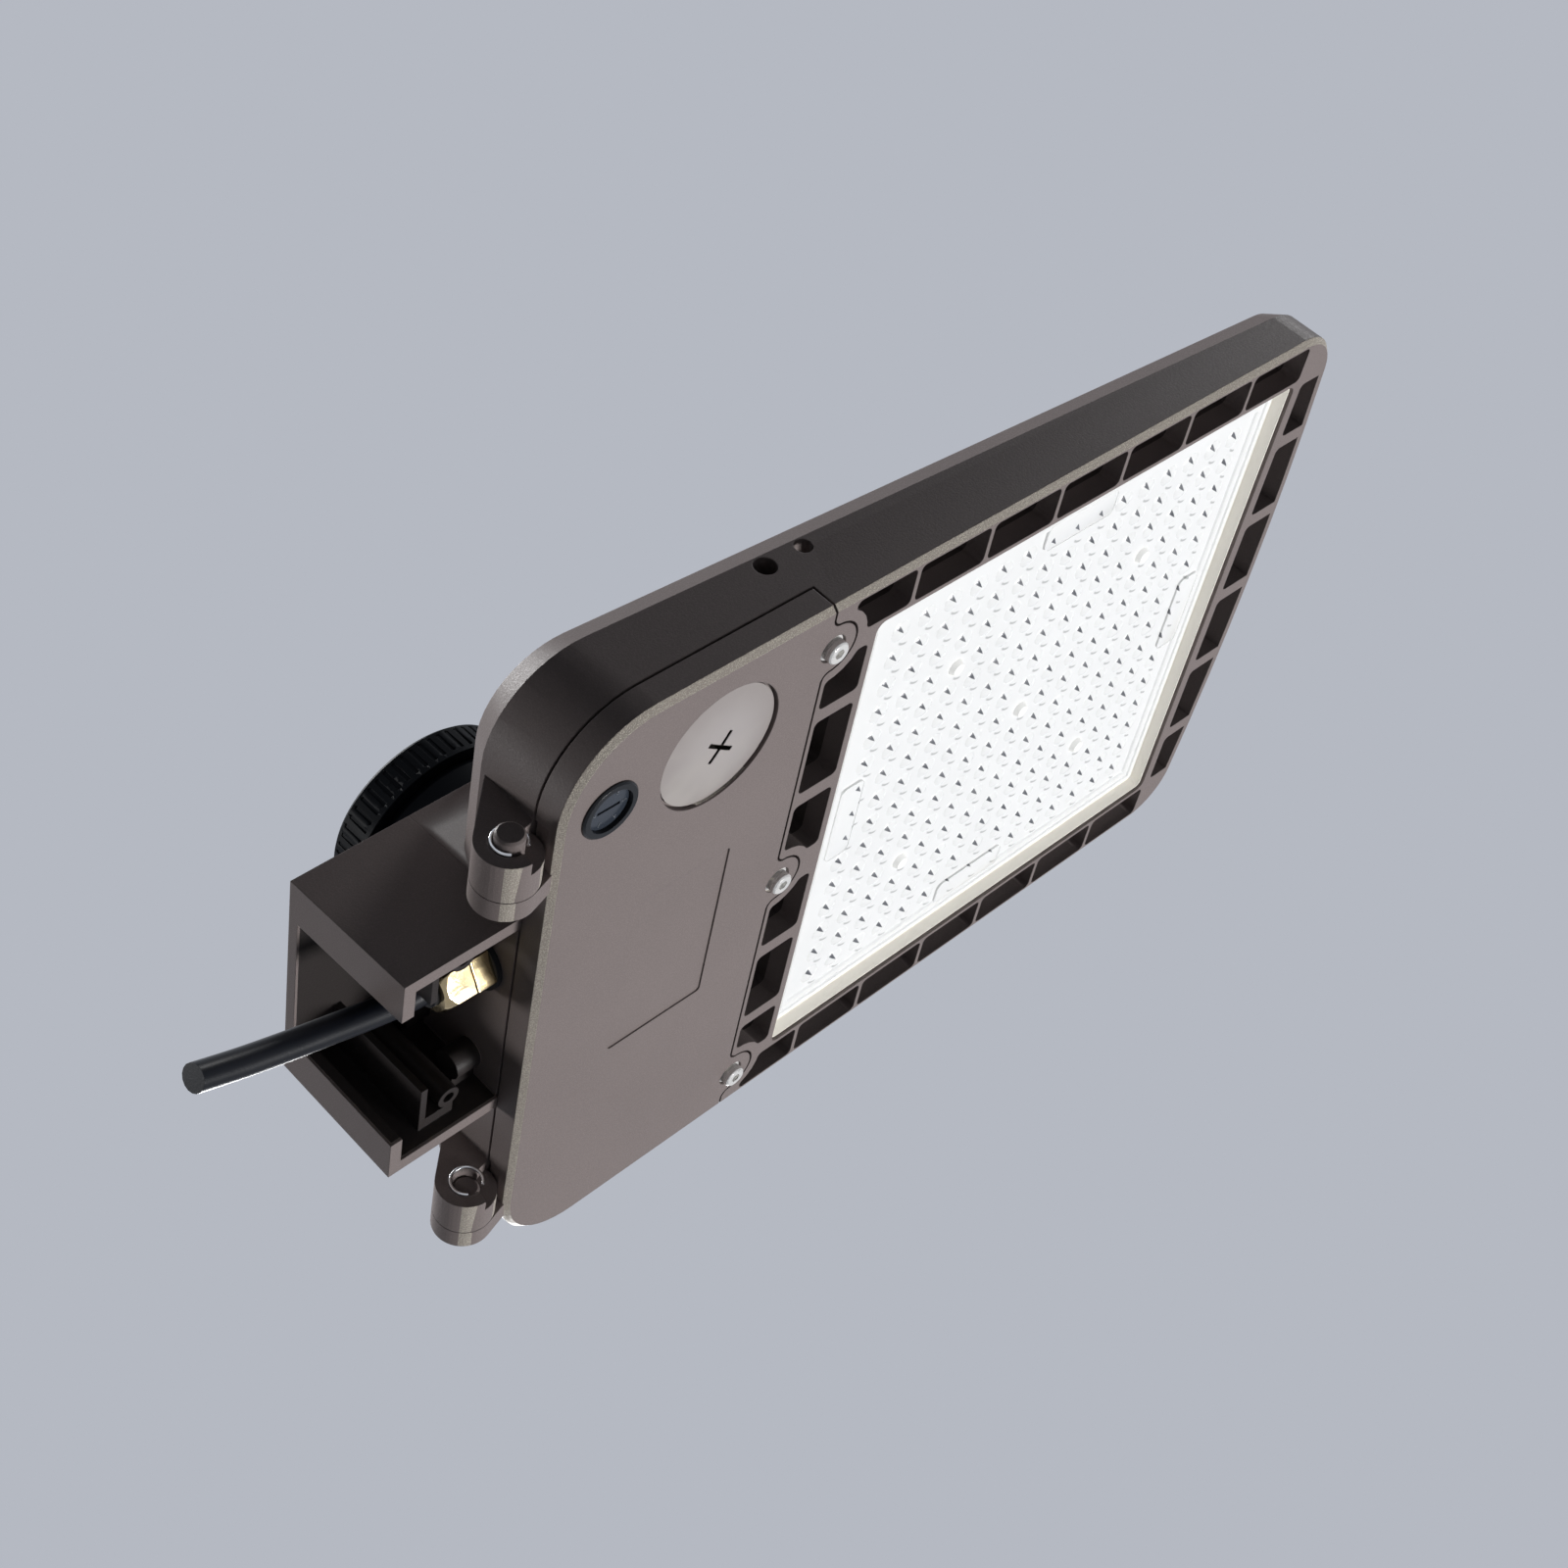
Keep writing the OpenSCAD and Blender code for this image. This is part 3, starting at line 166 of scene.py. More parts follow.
class Socket:
    """An output of a shader node. Python's operators on it add Math nodes."""

    def __init__(self, look, output):
        self.look, self.output = look, output

    def math(self, operation, *others):
        values = dict(enumerate((self, *others)))
        return self.look.add("ShaderNodeMath", {"operation": operation}, values)

    def __add__(self, other):
        return self.math("ADD", other)

    def __mul__(self, other):
        return self.math("MULTIPLY", other)

    __radd__, __rmul__ = __add__, __mul__

    def __sub__(self, other):
        return self.math("SUBTRACT", other)

    def __rsub__(self, other):
        return (self * -1) + other

    def __truediv__(self, other):
        return self.math("DIVIDE", other)

    def __gt__(self, other):
        return self.math("GREATER_THAN", other)

    def __lt__(self, other):
        return self.math("LESS_THAN", other)

    def __abs__(self):
        return self.math("ABSOLUTE")

    def __pow__(self, other):
        return self.math("POWER", other)

    def wrapped(self, low, high):
        """The value, repeated from low to high."""
        return self.math("WRAP", high, low)

    def between(self, low, high):
        """A smooth step from 0 at low to 1 at high."""
        return self.look.add("ShaderNodeMapRange", {"interpolation_type": "SMOOTHSTEP"},
                             {0: self, 1: low, 2: high})


class Look:
    """A material that is made of one Principled shader and sockets that feed it."""

    def __init__(self, name, **surface):
        self.material = bpy.data.materials.new(name)
        self.material.use_nodes = True
        self.nodes = self.material.node_tree.nodes
        self.links = self.material.node_tree.links
        self.shader = self.nodes["Principled BSDF"]
        self.place = self.add("ShaderNodeTexCoord", output="Object")
        self.set(**surface)

    def feed(self, node, sockets):
        for key, value in sockets.items():
            if isinstance(value, Socket):
                self.links.new(value.output, node.inputs[key])
            else:
                node.inputs[key].default_value = value

    def add(self, kind, settings=None, sockets=None, output=0):
        """Adds a node, gives it its settings and then its sockets, and returns one output."""
        node = self.nodes.new(kind)
        for name, value in (settings or {}).items():
            setattr(node, name, value)
        self.feed(node, sockets or {})
        return Socket(self, node.outputs[output])

    def set(self, **surface):
        """Sets sockets of the shader, by their names with underscores for spaces."""
        self.feed(self.shader, {key.replace("_", " "): value for key, value in surface.items()})

    def parts(self, vector):
        """The x, y and z of a vector."""
        node = self.add("ShaderNodeSeparateXYZ", sockets={0: vector}).output.node
        return [Socket(self, output) for output in node.outputs]

    def axes(self):
        """The x, y and z of a point, in the shared frame."""
        return self.parts(self.place)

    def facing(self):
        """The x, y and z of the surface's own normal."""
        return self.parts(self.add("ShaderNodeNewGeometry", output="Normal"))

    def noise(self, scale, detail=2.0, roughness=0.5, place=None):
        return self.add("ShaderNodeTexNoise", sockets={
            "Vector": place or self.place, "Scale": scale, "Detail": detail, "Roughness": roughness})

    def stretched(self, x, y, z):
        return self.add("ShaderNodeMapping", sockets={"Vector": self.place, "Scale": (x, y, z)})

    def blend(self, first, second, factor):
        """Mixes two colours: factor 0 gives the first, and 1 the second."""
        colours = [c if isinstance(c, Socket) else (*c[:3], 1) for c in (first, second)]
        values = {0: factor, 6: colours[0], 7: colours[1]}
        return self.add("ShaderNodeMix", {"data_type": "RGBA"}, values, output=2)

    def rounded(self, radius):
        """The surface's normal, with edges of that radius."""
        return self.add("ShaderNodeBevel", {"samples": 4}, {"Radius": radius})

    def bumped(self, height, distance, normal=None):
        sockets = {"Height": height, "Distance": distance}
        if normal:
            sockets["Normal"] = normal
        return self.add("ShaderNodeBump", sockets=sockets)


def scaled(colour, factor):
    """A lighter or darker colour."""
    return tuple(min(1.0, channel * factor) for channel in colour)


# ---- finishes ----

# Boxes in which the castings' coat gets painted shade, in mm: (low, high) along x, y and z
VENT_ZONE = ((152, 419), (-121, 121), (-30, 24))
ARM_HOLLOW = ((1, 44.6), (-45.3, 45.3), (-26, 23.6))
VENT_FACING = 0.6               # the top frame's faces, which look up more than this, aren't vents
HOLLOW_SHADE = 0.45             # the arm's hollow, against the vents

# The rim's cast chamfer, which is gritty, and pale with a painted highlight
CHAMFER_HEIGHT = 2.2 * MM
CHAMFER_FACING = (-0.92, -0.35)
CHAMFER_HIGHLIGHT_COLOUR = (0.52, 0.48, 0.41)

# Corners of the dark wedge under each dome, a painted refraction of its LED, from the dome's middle in
# mm
LED_WEDGE = ((-1.7, -4.1), (0.4, 0.2), (-3.1, -2.5))
LED_REFRACTION_COLOUR = (0.085, 0.09, 0.105)

# The faint crescent of painted shade beside each dome: its middle, its direction and where it fades,
# in mm
CRESCENT_PLACE = (2.7, 7.4)
CRESCENT_COURSE = (0.93, 0.36)
CRESCENT_BEND = 0.1
CRESCENT_WIDTH = (0.2, 0.75)
CRESCENT_LENGTH = (1.4, 2.9)
CRESCENT_FIELD = (6.5, 4)       # how far inside and outside the domes' field they stop, along y

LIP_WIDTH = 1.5                 # the plate's pale lip, in mm
LIP_COLOUR = (0.9, 0.86, 0.77)
TRACK_PITCH = 13 * MM           # copper tracks on the LED board
TRACK_WIDTH = 1 * MM


def within(axes, zone):
    """A mask that is 1 inside a box whose bounds are in mm."""
    return math.prod(mask for axis, (low, high) in zip(axes, zone)
                     for mask in (axis > low * MM, axis < high * MM))


def powder_coat(coat, name, shade=1.0):
    """Bronze powder coat: cloudy tone, metallic flakes, a fine grain, grittier cast edges with a
    painted highlight on the rim's chamfer, and painted shade deep in the vents and in the arm's
    hollow.
    """
    colour = scaled(coat.colour, shade)
    look = Look(name, Specular_IOR_Level=0.18)
    axes = look.axes()
    facing = look.facing()[2]
    cloud = look.noise(18, 3)
    grain = look.noise(1100, 2, 0.6)
    flakes = look.noise(2600, 1).between(0.5, 0.62)
    low, high = CHAMFER_FACING
    chamfer = (axes[2] < RIM_Z + CHAMFER_HEIGHT) * (facing < high) * (facing > low)
    tone = look.blend(scaled(colour, 0.92), scaled(colour, 1.08), cloud)
    tone = look.blend(tone, scaled(colour, 1.7), flakes * coat.sparkle * 0.5)
    # Painted highlight on the rim's chamfer, speckled by the flakes
    tone = look.blend(tone, CHAMFER_HIGHLIGHT_COLOUR, chamfer * (flakes * 0.5 + 0.45))
    # Painted shade deep in the vents and, darker still, in the arm's hollow
    vents = within(axes, VENT_ZONE) * (facing < VENT_FACING)
    tone = look.blend(tone, scaled(colour, coat.thin), vents)
    tone = look.blend(tone, scaled(colour, coat.thin * HOLLOW_SHADE), within(axes, ARM_HOLLOW))
    normal = look.bumped(grain + flakes * chamfer, coat.grain, normal=look.rounded(coat.edge))
    look.set(Base_Color=tone, Roughness=0.5 - flakes * 0.12 + cloud * 0.05, Normal=normal)
    return look.material


def moulded(name, colour, roughness=0.4, grain=0.02, edge=0.3, **surface):
    """Moulded plastic or rubber with a slight texture and soft edges."""
    look = Look(name, **{"Specular_IOR_Level": 0.25, **surface})
    cloud = look.noise(60, 3)
    fine = look.noise(1500, 2)
    look.set(
        Base_Color=look.blend(scaled(colour, 0.86), scaled(colour, 1.12), cloud),
        Roughness=cloud * 0.12 + (roughness - 0.06),
        Normal=look.bumped(fine, grain * MM, normal=look.rounded(edge * MM)))
    return look.material


def turned_metal(name, colour, roughness=0.25, edge=0.25, metallic=1.0):
    """Turned or drawn metal: fine lines, faint stains and bright rounded edges."""
    look = Look(name, Metallic=metallic)
    lines = look.noise(1, 2, place=look.stretched(300, 300, 4000))
    stains = look.noise(150, 3)
    look.set(
        Base_Color=look.blend(scaled(colour, 0.8), colour, stains),
        Roughness=lines * 0.15 + stains * 0.12 + (roughness - 0.1),
        Normal=look.bumped(lines, 0.01 * MM, normal=look.rounded(edge * MM)))
    return look.material


def lens_clear(lens, low, high):
    """Clear plate over a white board, with a painted glow: each dome has a dark wedge painted as the
    refraction of its LED, and a crescent of painted shade.
    """
    # The plate's emission, in its own colour, is painted light
    look = Look("clear_lens", Roughness=0.22, IOR=1.5, Emission_Strength=lens.painted_glow)
    x, y, z = look.axes()
    x, y = (x - (low.x + high.x) / 2 - lens.shift) / MM, (y - (low.y + high.y) / 2) / MM
    half_pitch = lens.pitch / MM / 2
    field = (lens.rows / 2 - 0.2) * lens.pitch / MM
    u, v = x.wrapped(-half_pitch, half_pitch), y.wrapped(-half_pitch, half_pitch)
    # Painted refraction: the dark wedge of each dome's LED, on the dome
    wedge = (abs(x) < field) * (abs(y) < field) * (z < low.z + DOME_ROOM - 0.04 * MM)
    for k in range(3):
        (ax, ay), (bx, by) = LED_WEDGE[k], LED_WEDGE[(k + 1) % 3]
        run = math.hypot(bx - ax, by - ay)
        wedge = wedge * (((v - ay) * (bx - ax) - (u - ax) * (by - ay)) / run).between(-0.1, 0.15)
    # Painted shade: a faint crescent beside each dome
    u, v = ((axis - offset).wrapped(-half_pitch, half_pitch)
            for axis, offset in zip((x, y), CRESCENT_PLACE))
    run, rise = CRESCENT_COURSE
    along, across = u * run + v * rise, v * run - u * rise
    bow = abs(across + along * along * CRESCENT_BEND)
    crescent = (1 - bow.between(*CRESCENT_WIDTH)) * (1 - abs(along).between(*CRESCENT_LENGTH))
    inside, outside = CRESCENT_FIELD
    crescent = crescent * (abs(x) < field) * (y < field + outside) * (y > inside - field)
    haze = look.noise(45, 2)
    colour = look.blend(lens.colour, scaled(lens.colour, 1.08), haze)
    colour = look.blend(colour, scaled(lens.colour, 0.6), crescent)
    colour = look.blend(colour, LED_REFRACTION_COLOUR, wedge * (look.noise(170, 1) * 0.3 + 0.8))
    edge_x, edge_y = (high.x - low.x) / 2 / MM, (high.y - low.y) / 2 / MM
    lip = (abs(x + lens.shift / MM) > edge_x - LIP_WIDTH) + (abs(y) > edge_y - LIP_WIDTH)
    colour = look.blend(colour, LIP_COLOUR, lip * 0.9)
    look.set(
        Base_Color=colour,
        Emission_Color=colour,
        Normal=look.bumped(look.noise(220, 2), 0.02 * MM))
    return look.material


def white_board(name):
    """White lacquered LED board with pale copper under the lacquer."""
    look = Look(name, Roughness=0.35, Coat_Weight=0.3)
    x = look.axes()[0]
    tracks = abs(x.wrapped(0, TRACK_PITCH) - TRACK_PITCH / 2) < TRACK_WIDTH / 2
    colour = look.blend((0.86, 0.86, 0.83), (0.78, 0.79, 0.74), tracks)
    look.set(Base_Color=look.blend(colour, (0.8, 0.79, 0.72), look.noise(30, 2)))
    return look.material


# ---- making pieces ----


def claimed(piece, *nodes, slot=None):
    """Puts a new piece in the scene in place of CAD nodes, on their body; the slot argument is not
    used.
    """
    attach(piece, BODY_OF[nodes[0]])
    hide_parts(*nodes)
    return piece


def new_piece(name, bm, material, smooth=35):
    """Makes a piece from a bmesh, with creases sharper than an angle kept sharp."""
    mesh = bpy.data.meshes.new(name)
    bm.to_mesh(mesh)
    bm.free()
    mesh.materials.append(material)
    mesh.shade_smooth()
    mesh.set_sharp_from_angle(angle=math.radians(smooth))
    piece = bpy.data.objects.new(name, mesh)
    bpy.context.scene.collection.objects.link(piece)
    return piece


def joined_copy(node):
    """The faces of a CAD node, joined along their shared edges, with each flat area as few faces."""
    bm = bmesh.new()
    bm.from_mesh(frame["nodes"][node].data)
    bmesh.ops.remove_doubles(bm, verts=bm.verts, dist=0.002 * MM)
    bmesh.ops.dissolve_limit(bm, angle_limit=math.radians(0.4), verts=bm.verts, edges=bm.edges,
                             use_dissolve_boundaries=False)
    return bm


def finished(node, material, smooth=20):
    """A smooth-shaded copy of a CAD node in its real finish, which stands for the node."""
    piece = new_piece("fine_" + node, joined_copy(node), material, smooth)
    weights = piece.modifiers.new("weights", "WEIGHTED_NORMAL")
    weights.keep_sharp = True
    return claimed(piece, node)


def rounded_block(low, high, corner, edge):
    """A box whose upright edges have one radius and whose other edges have another."""
    low, high = Vector(low), Vector(high)
    bm = bmesh.new()
    bmesh.ops.create_cube(bm, size=1)
    bmesh.ops.scale(bm, vec=high - low, verts=bm.verts)
    bmesh.ops.translate(bm, vec=(low + high) / 2, verts=bm.verts)
    upright = [e for e in bm.edges if abs((e.verts[0].co - e.verts[1].co).normalized().z) > 0.9]
    bmesh.ops.bevel(bm, geom=upright, offset=corner, segments=5, profile=0.5,
                    affect="EDGES", material=-1)
    flat = [e for e in bm.edges
            if abs(e.verts[0].co.z - e.verts[1].co.z) < 1e-7 and e.calc_face_angle(0) > 0.8]
    bmesh.ops.bevel(bm, geom=flat, offset=edge, segments=2, profile=0.5,
                    affect="EDGES", material=-1)
    return bm


def add_mesh(bm, mesh, place):
    """Adds a copy of a mesh to a bmesh, moved and turned by a matrix."""
    count = len(bm.verts)
    bm.from_mesh(mesh)
    bm.verts.ensure_lookup_table()
    bmesh.ops.transform(bm, matrix=place, verts=bm.verts[count:])


def as_mesh(bm, name):
    """Turns a bmesh into a mesh, which is used as a stamp and removed afterwards."""
    mesh = bpy.data.meshes.new(name)
    bm.to_mesh(mesh)
    bm.free()
    return mesh


# ---- operators: one for each group of pieces ----


class AREALIGHT_OT_castings(bpy.types.Operator):
    """Finish the housing, the arm, the door and the hinge pins in powder coat"""

    bl_idname = "arealight.castings"
    bl_label = "Castings"

    def execute(self, context):
        coat = context.scene.arealight_coating
        bronze = powder_coat(coat, "bronze_coat")
        for node in ("housing", "mounting_arm", "access_door"):
            finished(node, bronze)
        pins = powder_coat(coat, "pin_coat", shade=0.8)
        for node in ("hinge_pin_left", "hinge_pin_right"):
            finished(node, pins)
        return {"FINISHED"}


# Bright steel ring round each hinge pin, which stands in for the highlight in the ear's countersink:
# its distance from the pin's lower y end, and its sizes
RING_PLACES = {"hinge_pin_left": 3.6 * MM, "hinge_pin_right": -3.9 * MM}
RING_RADIUS = 5.6 * MM
RING_WIRE = 0.6 * MM
RING_START, RING_LENGTH = math.radians(125), math.radians(290)

SCREW_WHITE = (0.85, 0.85, 0.83)


class AREALIGHT_OT_fasteners(bpy.types.Operator):
    """Finish the bolts, screws and washers in steel, and build the rings round the hinge pins"""

    bl_idname = "arealight.fasteners"
    bl_label = "Fasteners"

    def execute(self, context):
        steel = turned_metal("stainless", (0.86, 0.85, 0.83), roughness=0.25, metallic=0.35)
        for node in ("captive_screw_left", "captive_screw_middle", "captive_screw_right",
                     "screw_washers", "arm_bolts", "component_screws"):
            finished(node, steel)
        # The lens screws give off a faint light in their own colour: painted light
        finished("lens_screws", moulded("pale_screw", SCREW_WHITE, roughness=0.25,
                                        Emission_Color=(*SCREW_WHITE, 1), Emission_Strength=0.25))
        bright = turned_metal("ring_steel", (0.97, 0.97, 0.96), roughness=0.15)
        for pin, inwards in RING_PLACES.items():
            low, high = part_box(pin)
            ring = bmesh.new()
            bmesh.ops.create_circle(ring, segments=8, radius=RING_WIRE,
                                    matrix=Matrix.Translation((RING_RADIUS, 0, 0)))
            bmesh.ops.spin(ring, geom=ring.verts[:] + ring.edges[:], cent=(0, 0, 0), axis=(0, 1, 0),
                           angle=RING_LENGTH, steps=32)
            bmesh.ops.holes_fill(ring, edges=ring.edges)
            bmesh.ops.recalc_face_normals(ring, faces=ring.faces)
            turn = Matrix.Rotation(RING_START, 4, "Y")
            middle = (low + high) / 2
            place = Matrix.Translation((middle.x, low.y + inwards, middle.z))
            bmesh.ops.transform(ring, matrix=place @ turn, verts=ring.verts)
            piece = new_piece(pin.replace("pin", "ring"), ring, bright)
            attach(piece, BODY_OF["housing"])
        return {"FINISHED"}


# The cross slot of the port cap: its depth, and its reach as a share of the cap's radius
SLOT_DEPTH = 0.3 * MM
SLOT_REACH = 0.4


class AREALIGHT_OT_port(bpy.types.Operator):
    """Finish the round port cap, its seal and its nut"""

    bl_idname = "arealight.port"
    bl_label = "Port cap"

    def execute(self, context):
        finished("port_cap", self.cap_plastic())
        finished("port_seal", moulded("port_rubber", (0.012, 0.012, 0.013), roughness=0.7))
        finished("port_nut", moulded("nut_plastic", (0.03, 0.03, 0.032), roughness=0.5))
        return {"FINISHED"}

    def cap_plastic(self):
        """Warm grey plastic, paler in the middle, with painted shade in the cross slot."""
        look = Look("cap_plastic", Specular_IOR_Level=0.3)
        low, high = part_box("port_cap")
        x, y, z = look.axes()
        x, y = x - (low.x + high.x) / 2, y - (low.y + high.y) / 2
        reach = (x * x + y * y) ** 0.5 / ((high.x - low.x) / 2)
        slot = (z > low.z + SLOT_DEPTH) * (reach < SLOT_REACH)
        tone = look.blend((0.37, 0.34, 0.335), (0.31, 0.28, 0.27), reach.between(0.3, 1.0))
        tone = look.blend(tone, (0.4, 0.37, 0.35), look.noise(40, 2).between(0.4, 0.8))
        # Painted shade deep in the cross slot
        tone = look.blend(tone, (0.012, 0.01, 0.006), slot)
        look.set(Base_Color=tone, Roughness=look.noise(60, 2) * 0.15 + 0.35,
                 Normal=look.bumped(look.noise(1500, 2), 0.02 * MM, normal=look.rounded(0.3 * MM)))
        return look.material


# Numbers round the dial: how many, their height, thickness and distance from the dial's middle
NUMERALS = 6
NUMERAL_SIZE = 2.6 * MM
NUMERAL_DEPTH = 0.12 * MM
NUMERAL_REACH = 6 * MM


class AREALIGHT_OT_selector(bpy.types.Operator):
    """Finish the selector's bezel, dial, nut and switch"""

    bl_idname = "arealight.selector"
    bl_label = "Selector"

    def execute(self, context):
        black = moulded("bezel_black", (0.01, 0.011, 0.013), roughness=0.25, grain=0.005)
        finished("selector_bezel", black)
        finished("selector_nut", black)
        finished("selector_dial", moulded("dial_plastic", (0.03, 0.037, 0.05), roughness=0.2,
                                          grain=0.005, Specular_IOR_Level=0.5))
        self.add_numerals()
        finished("selector_switch", moulded("switch_body", (0.02, 0.09, 0.04), roughness=0.35))
        return {"FINISHED"}

    def add_numerals(self):
        """Raised plain numbers round the dial."""
        low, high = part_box("selector_dial")
        dial = (Matrix.Translation(((low.x + high.x) / 2, (low.y + high.y) / 2, low.z))
                @ Matrix.Rotation(math.pi, 4, "X"))
        bm = bmesh.new()
        for k in range(NUMERALS):
            curve = bpy.data.curves.new("numeral", "FONT")
            curve.body, curve.size, curve.extrude = str(k + 1), NUMERAL_SIZE, NUMERAL_DEPTH
            curve.align_x = curve.align_y = "CENTER"
            text = bpy.data.objects.new("numeral", curve)
            mesh = bpy.data.meshes.new_from_object(text)
            bpy.data.objects.remove(text)
            bpy.data.curves.remove(curve)
            turn = Matrix.Rotation(math.tau / NUMERALS * (k + 0.5), 4, "Z")
            add_mesh(bm, mesh, dial @ turn @ Matrix.Translation((0, NUMERAL_REACH, 0)))
            bpy.data.meshes.remove(mesh)
        bmesh.ops.remove_doubles(bm, verts=bm.verts, dist=0.001 * MM)
        paint = moulded("numeral_paint", (0.14, 0.15, 0.17), grain=0.005)
        piece = new_piece("dial_numerals", bm, paint)
        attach(piece, BODY_OF["selector_dial"])


# Steps of the lens plate's border, from its edge inwards: (inset, height over its face), in mm
PLATE_STEPS = ((0, -4.6), (0.3, -4.9), (0.7, -4.9), (1.0, 0), (3.6, 0), (4.1, -0.8),
               (5.4, -0.8), (5.9, 0), (7.4, 0), (7.9, -0.8), (10.4, -0.8), (11.2, 0))
PLATE_CORNER = 3 * MM
PLATE_THICKNESS = 2.5 * MM
DOME_SINK = 0.05 * MM           # how far a dome's foot goes into the plate
SCREW_STEPS = 4                 # lenses from the plate's middle to each outer screw, both ways

# The low plateau in the middle of each side: its corners from the side's middle, and its edges
PLATEAU_LOW = (-8 * MM, -19 * MM, -1 * MM)
PLATEAU_HIGH = (4 * MM, 19 * MM, 0)
PLATEAU_CORNER = 3 * MM
PLATEAU_EDGE = 0.9 * MM


def corner_radius(inset):
    """Radius of the plate's corner that far inside its edge."""
    return max(PLATE_CORNER - inset, 0.4 * MM)


def add_rounded_loop(bm, low, high, z):
    """A closed loop of edges in the shape of a rounded rectangle, at the edge of a box."""
    radius = corner_radius(0)
    turn = Matrix.Rotation(math.radians(7.5), 4, "Z")
    verts = bmesh.ops.create_circle(bm, segments=24, radius=radius, matrix=turn)["verts"]
    middle, half = (low + high) / 2, (high - low) / 2
    for v in verts:
        v.co.x += middle.x + math.copysign(half.x - radius, v.co.x)
        v.co.y += middle.y + math.copysign(half.y - radius, v.co.y)
        v.co.z = z
    return list({e for v in verts for e in v.link_edges})


def step_inwards(bm, edges, low, high, before, inset, z):
    """Extrudes a rounded loop to a new inset and height, and gives the new loop's edges."""
    made = bmesh.ops.extrude_edge_only(bm, edges=edges)["geom"]
    verts = {g for g in made if isinstance(g, bmesh.types.BMVert)}
    middle, half = (low + high) / 2, (high - low) / 2
    old, new = corner_radius(before), corner_radius(inset)
    for v in verts:
        for axis in (0, 1):
            out = v.co[axis] - middle[axis]
            round_part = (abs(out) - (half[axis] - before - old)) * new / old
            v.co[axis] = middle[axis] + math.copysign(half[axis] - inset - new + round_part, out)
        v.co.z = z
    return [g for g in made if isinstance(g, bmesh.types.BMEdge) and set(g.verts) <= verts]


class AREALIGHT_OT_optics(bpy.types.Operator):
    """Build the domed lens plate and finish its gasket and the LED board"""

    bl_idname = "arealight.optics"
    bl_label = "Optics"

    def execute(self, context):
        lens = context.scene.arealight_lens
        low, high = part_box("lens_plate")
        face = low.z + DOME_ROOM
        bm = bmesh.new()
        loop, before = add_rounded_loop(bm, low, high, face + PLATE_THICKNESS), 0
        bmesh.ops.contextual_create(bm, geom=loop)
        for inset, depth in PLATE_STEPS:
            loop = step_inwards(bm, loop, low, high, before * MM, inset * MM, face + depth * MM)
            before = inset
        bmesh.ops.contextual_create(bm, geom=loop)
        bmesh.ops.recalc_face_normals(bm, faces=bm.faces)
        self.add_domes(bm, lens, low, high, face)
        piece = new_piece("domed_lens_plate", bm, lens_clear(lens, low, high))
        claimed(piece, "lens_plate")
        finished("lens_gasket", moulded("pale_rubber", (0.62, 0.56, 0.47), roughness=0.6))
        finished("led_board", white_board("led_board_white"))
        return {"FINISHED"}

    def add_domes(self, bm, lens, low, high, face):
        """A dome at each free place of the grid, and a plateau in the middle of each side."""
        middle = Vector(((low.x + high.x) / 2 + lens.shift, (low.y + high.y) / 2, face))
        half = lens.rows // 2
        dome = bmesh.new()
        ball = (lens.dome_radius ** 2 + lens.dome_height ** 2) / (2 * lens.dome_height)
        bmesh.ops.create_uvsphere(dome, u_segments=14, v_segments=16, radius=ball)
        bmesh.ops.translate(dome, vec=(0, 0, ball - lens.dome_height), verts=dome.verts)
        cut = bmesh.ops.bisect_plane(dome, geom=dome.verts[:] + dome.edges[:] + dome.faces[:],
                                     dist=1e-7, plane_co=(0, 0, 0), plane_no=(0, 0, 1),
                                     clear_outer=True)
        rim = [e for e in cut["geom_cut"] if isinstance(e, bmesh.types.BMEdge)]
        bmesh.ops.contextual_create(dome, geom=rim)
        bmesh.ops.translate(dome, vec=(0, 0, DOME_SINK), verts=dome.verts)
        bmesh.ops.recalc_face_normals(dome, faces=dome.faces)
        stamp = as_mesh(dome, "dome")
        for i in range(-half, half + 1):
            for j in range(-half, half + 1):
                screw = (i, j) == (0, 0) or abs(i) == abs(j) == SCREW_STEPS
                plateau = (abs(i) == half and abs(j) <= 1) or (abs(j) == half and abs(i) <= 1)
                if not (screw or plateau):
                    place = middle + Vector((i, j, 0)) * lens.pitch
                    add_mesh(bm, stamp, Matrix.Translation(place))
        bpy.data.meshes.remove(stamp)
        block = rounded_block(PLATEAU_LOW, PLATEAU_HIGH, PLATEAU_CORNER, PLATEAU_EDGE)
        stamp = as_mesh(block, "plateau")
        for k in range(4):
            turn = Matrix.Rotation(k * math.pi / 2, 4, "Z")
            outwards = Matrix.Translation(((half + 0.5) * lens.pitch, 0, 0))
            add_mesh(bm, stamp, Matrix.Translation(middle) @ turn @ outwards)
        bpy.data.meshes.remove(stamp)


class AREALIGHT_OT_gland(bpy.types.Operator):
    """Finish the cable gland in brass and black rubber"""

    bl_idname = "arealight.gland"
    bl_label = "Cable gland"

    def execute(self, context):
        brass = turned_metal("gland_brass", (0.78, 0.62, 0.36), roughness=0.1, edge=0.4)
        rubber = moulded("gland_rubber", (0.012, 0.012, 0.014), roughness=0.6)
        for node in ("gland_body", "gland_nut", "gland_locknut"):
            finished(node, brass)
        for node in ("gland_seal", "gland_insert", "lead_grommet", "door_gasket"):
            finished(node, rubber)
        return {"FINISHED"}


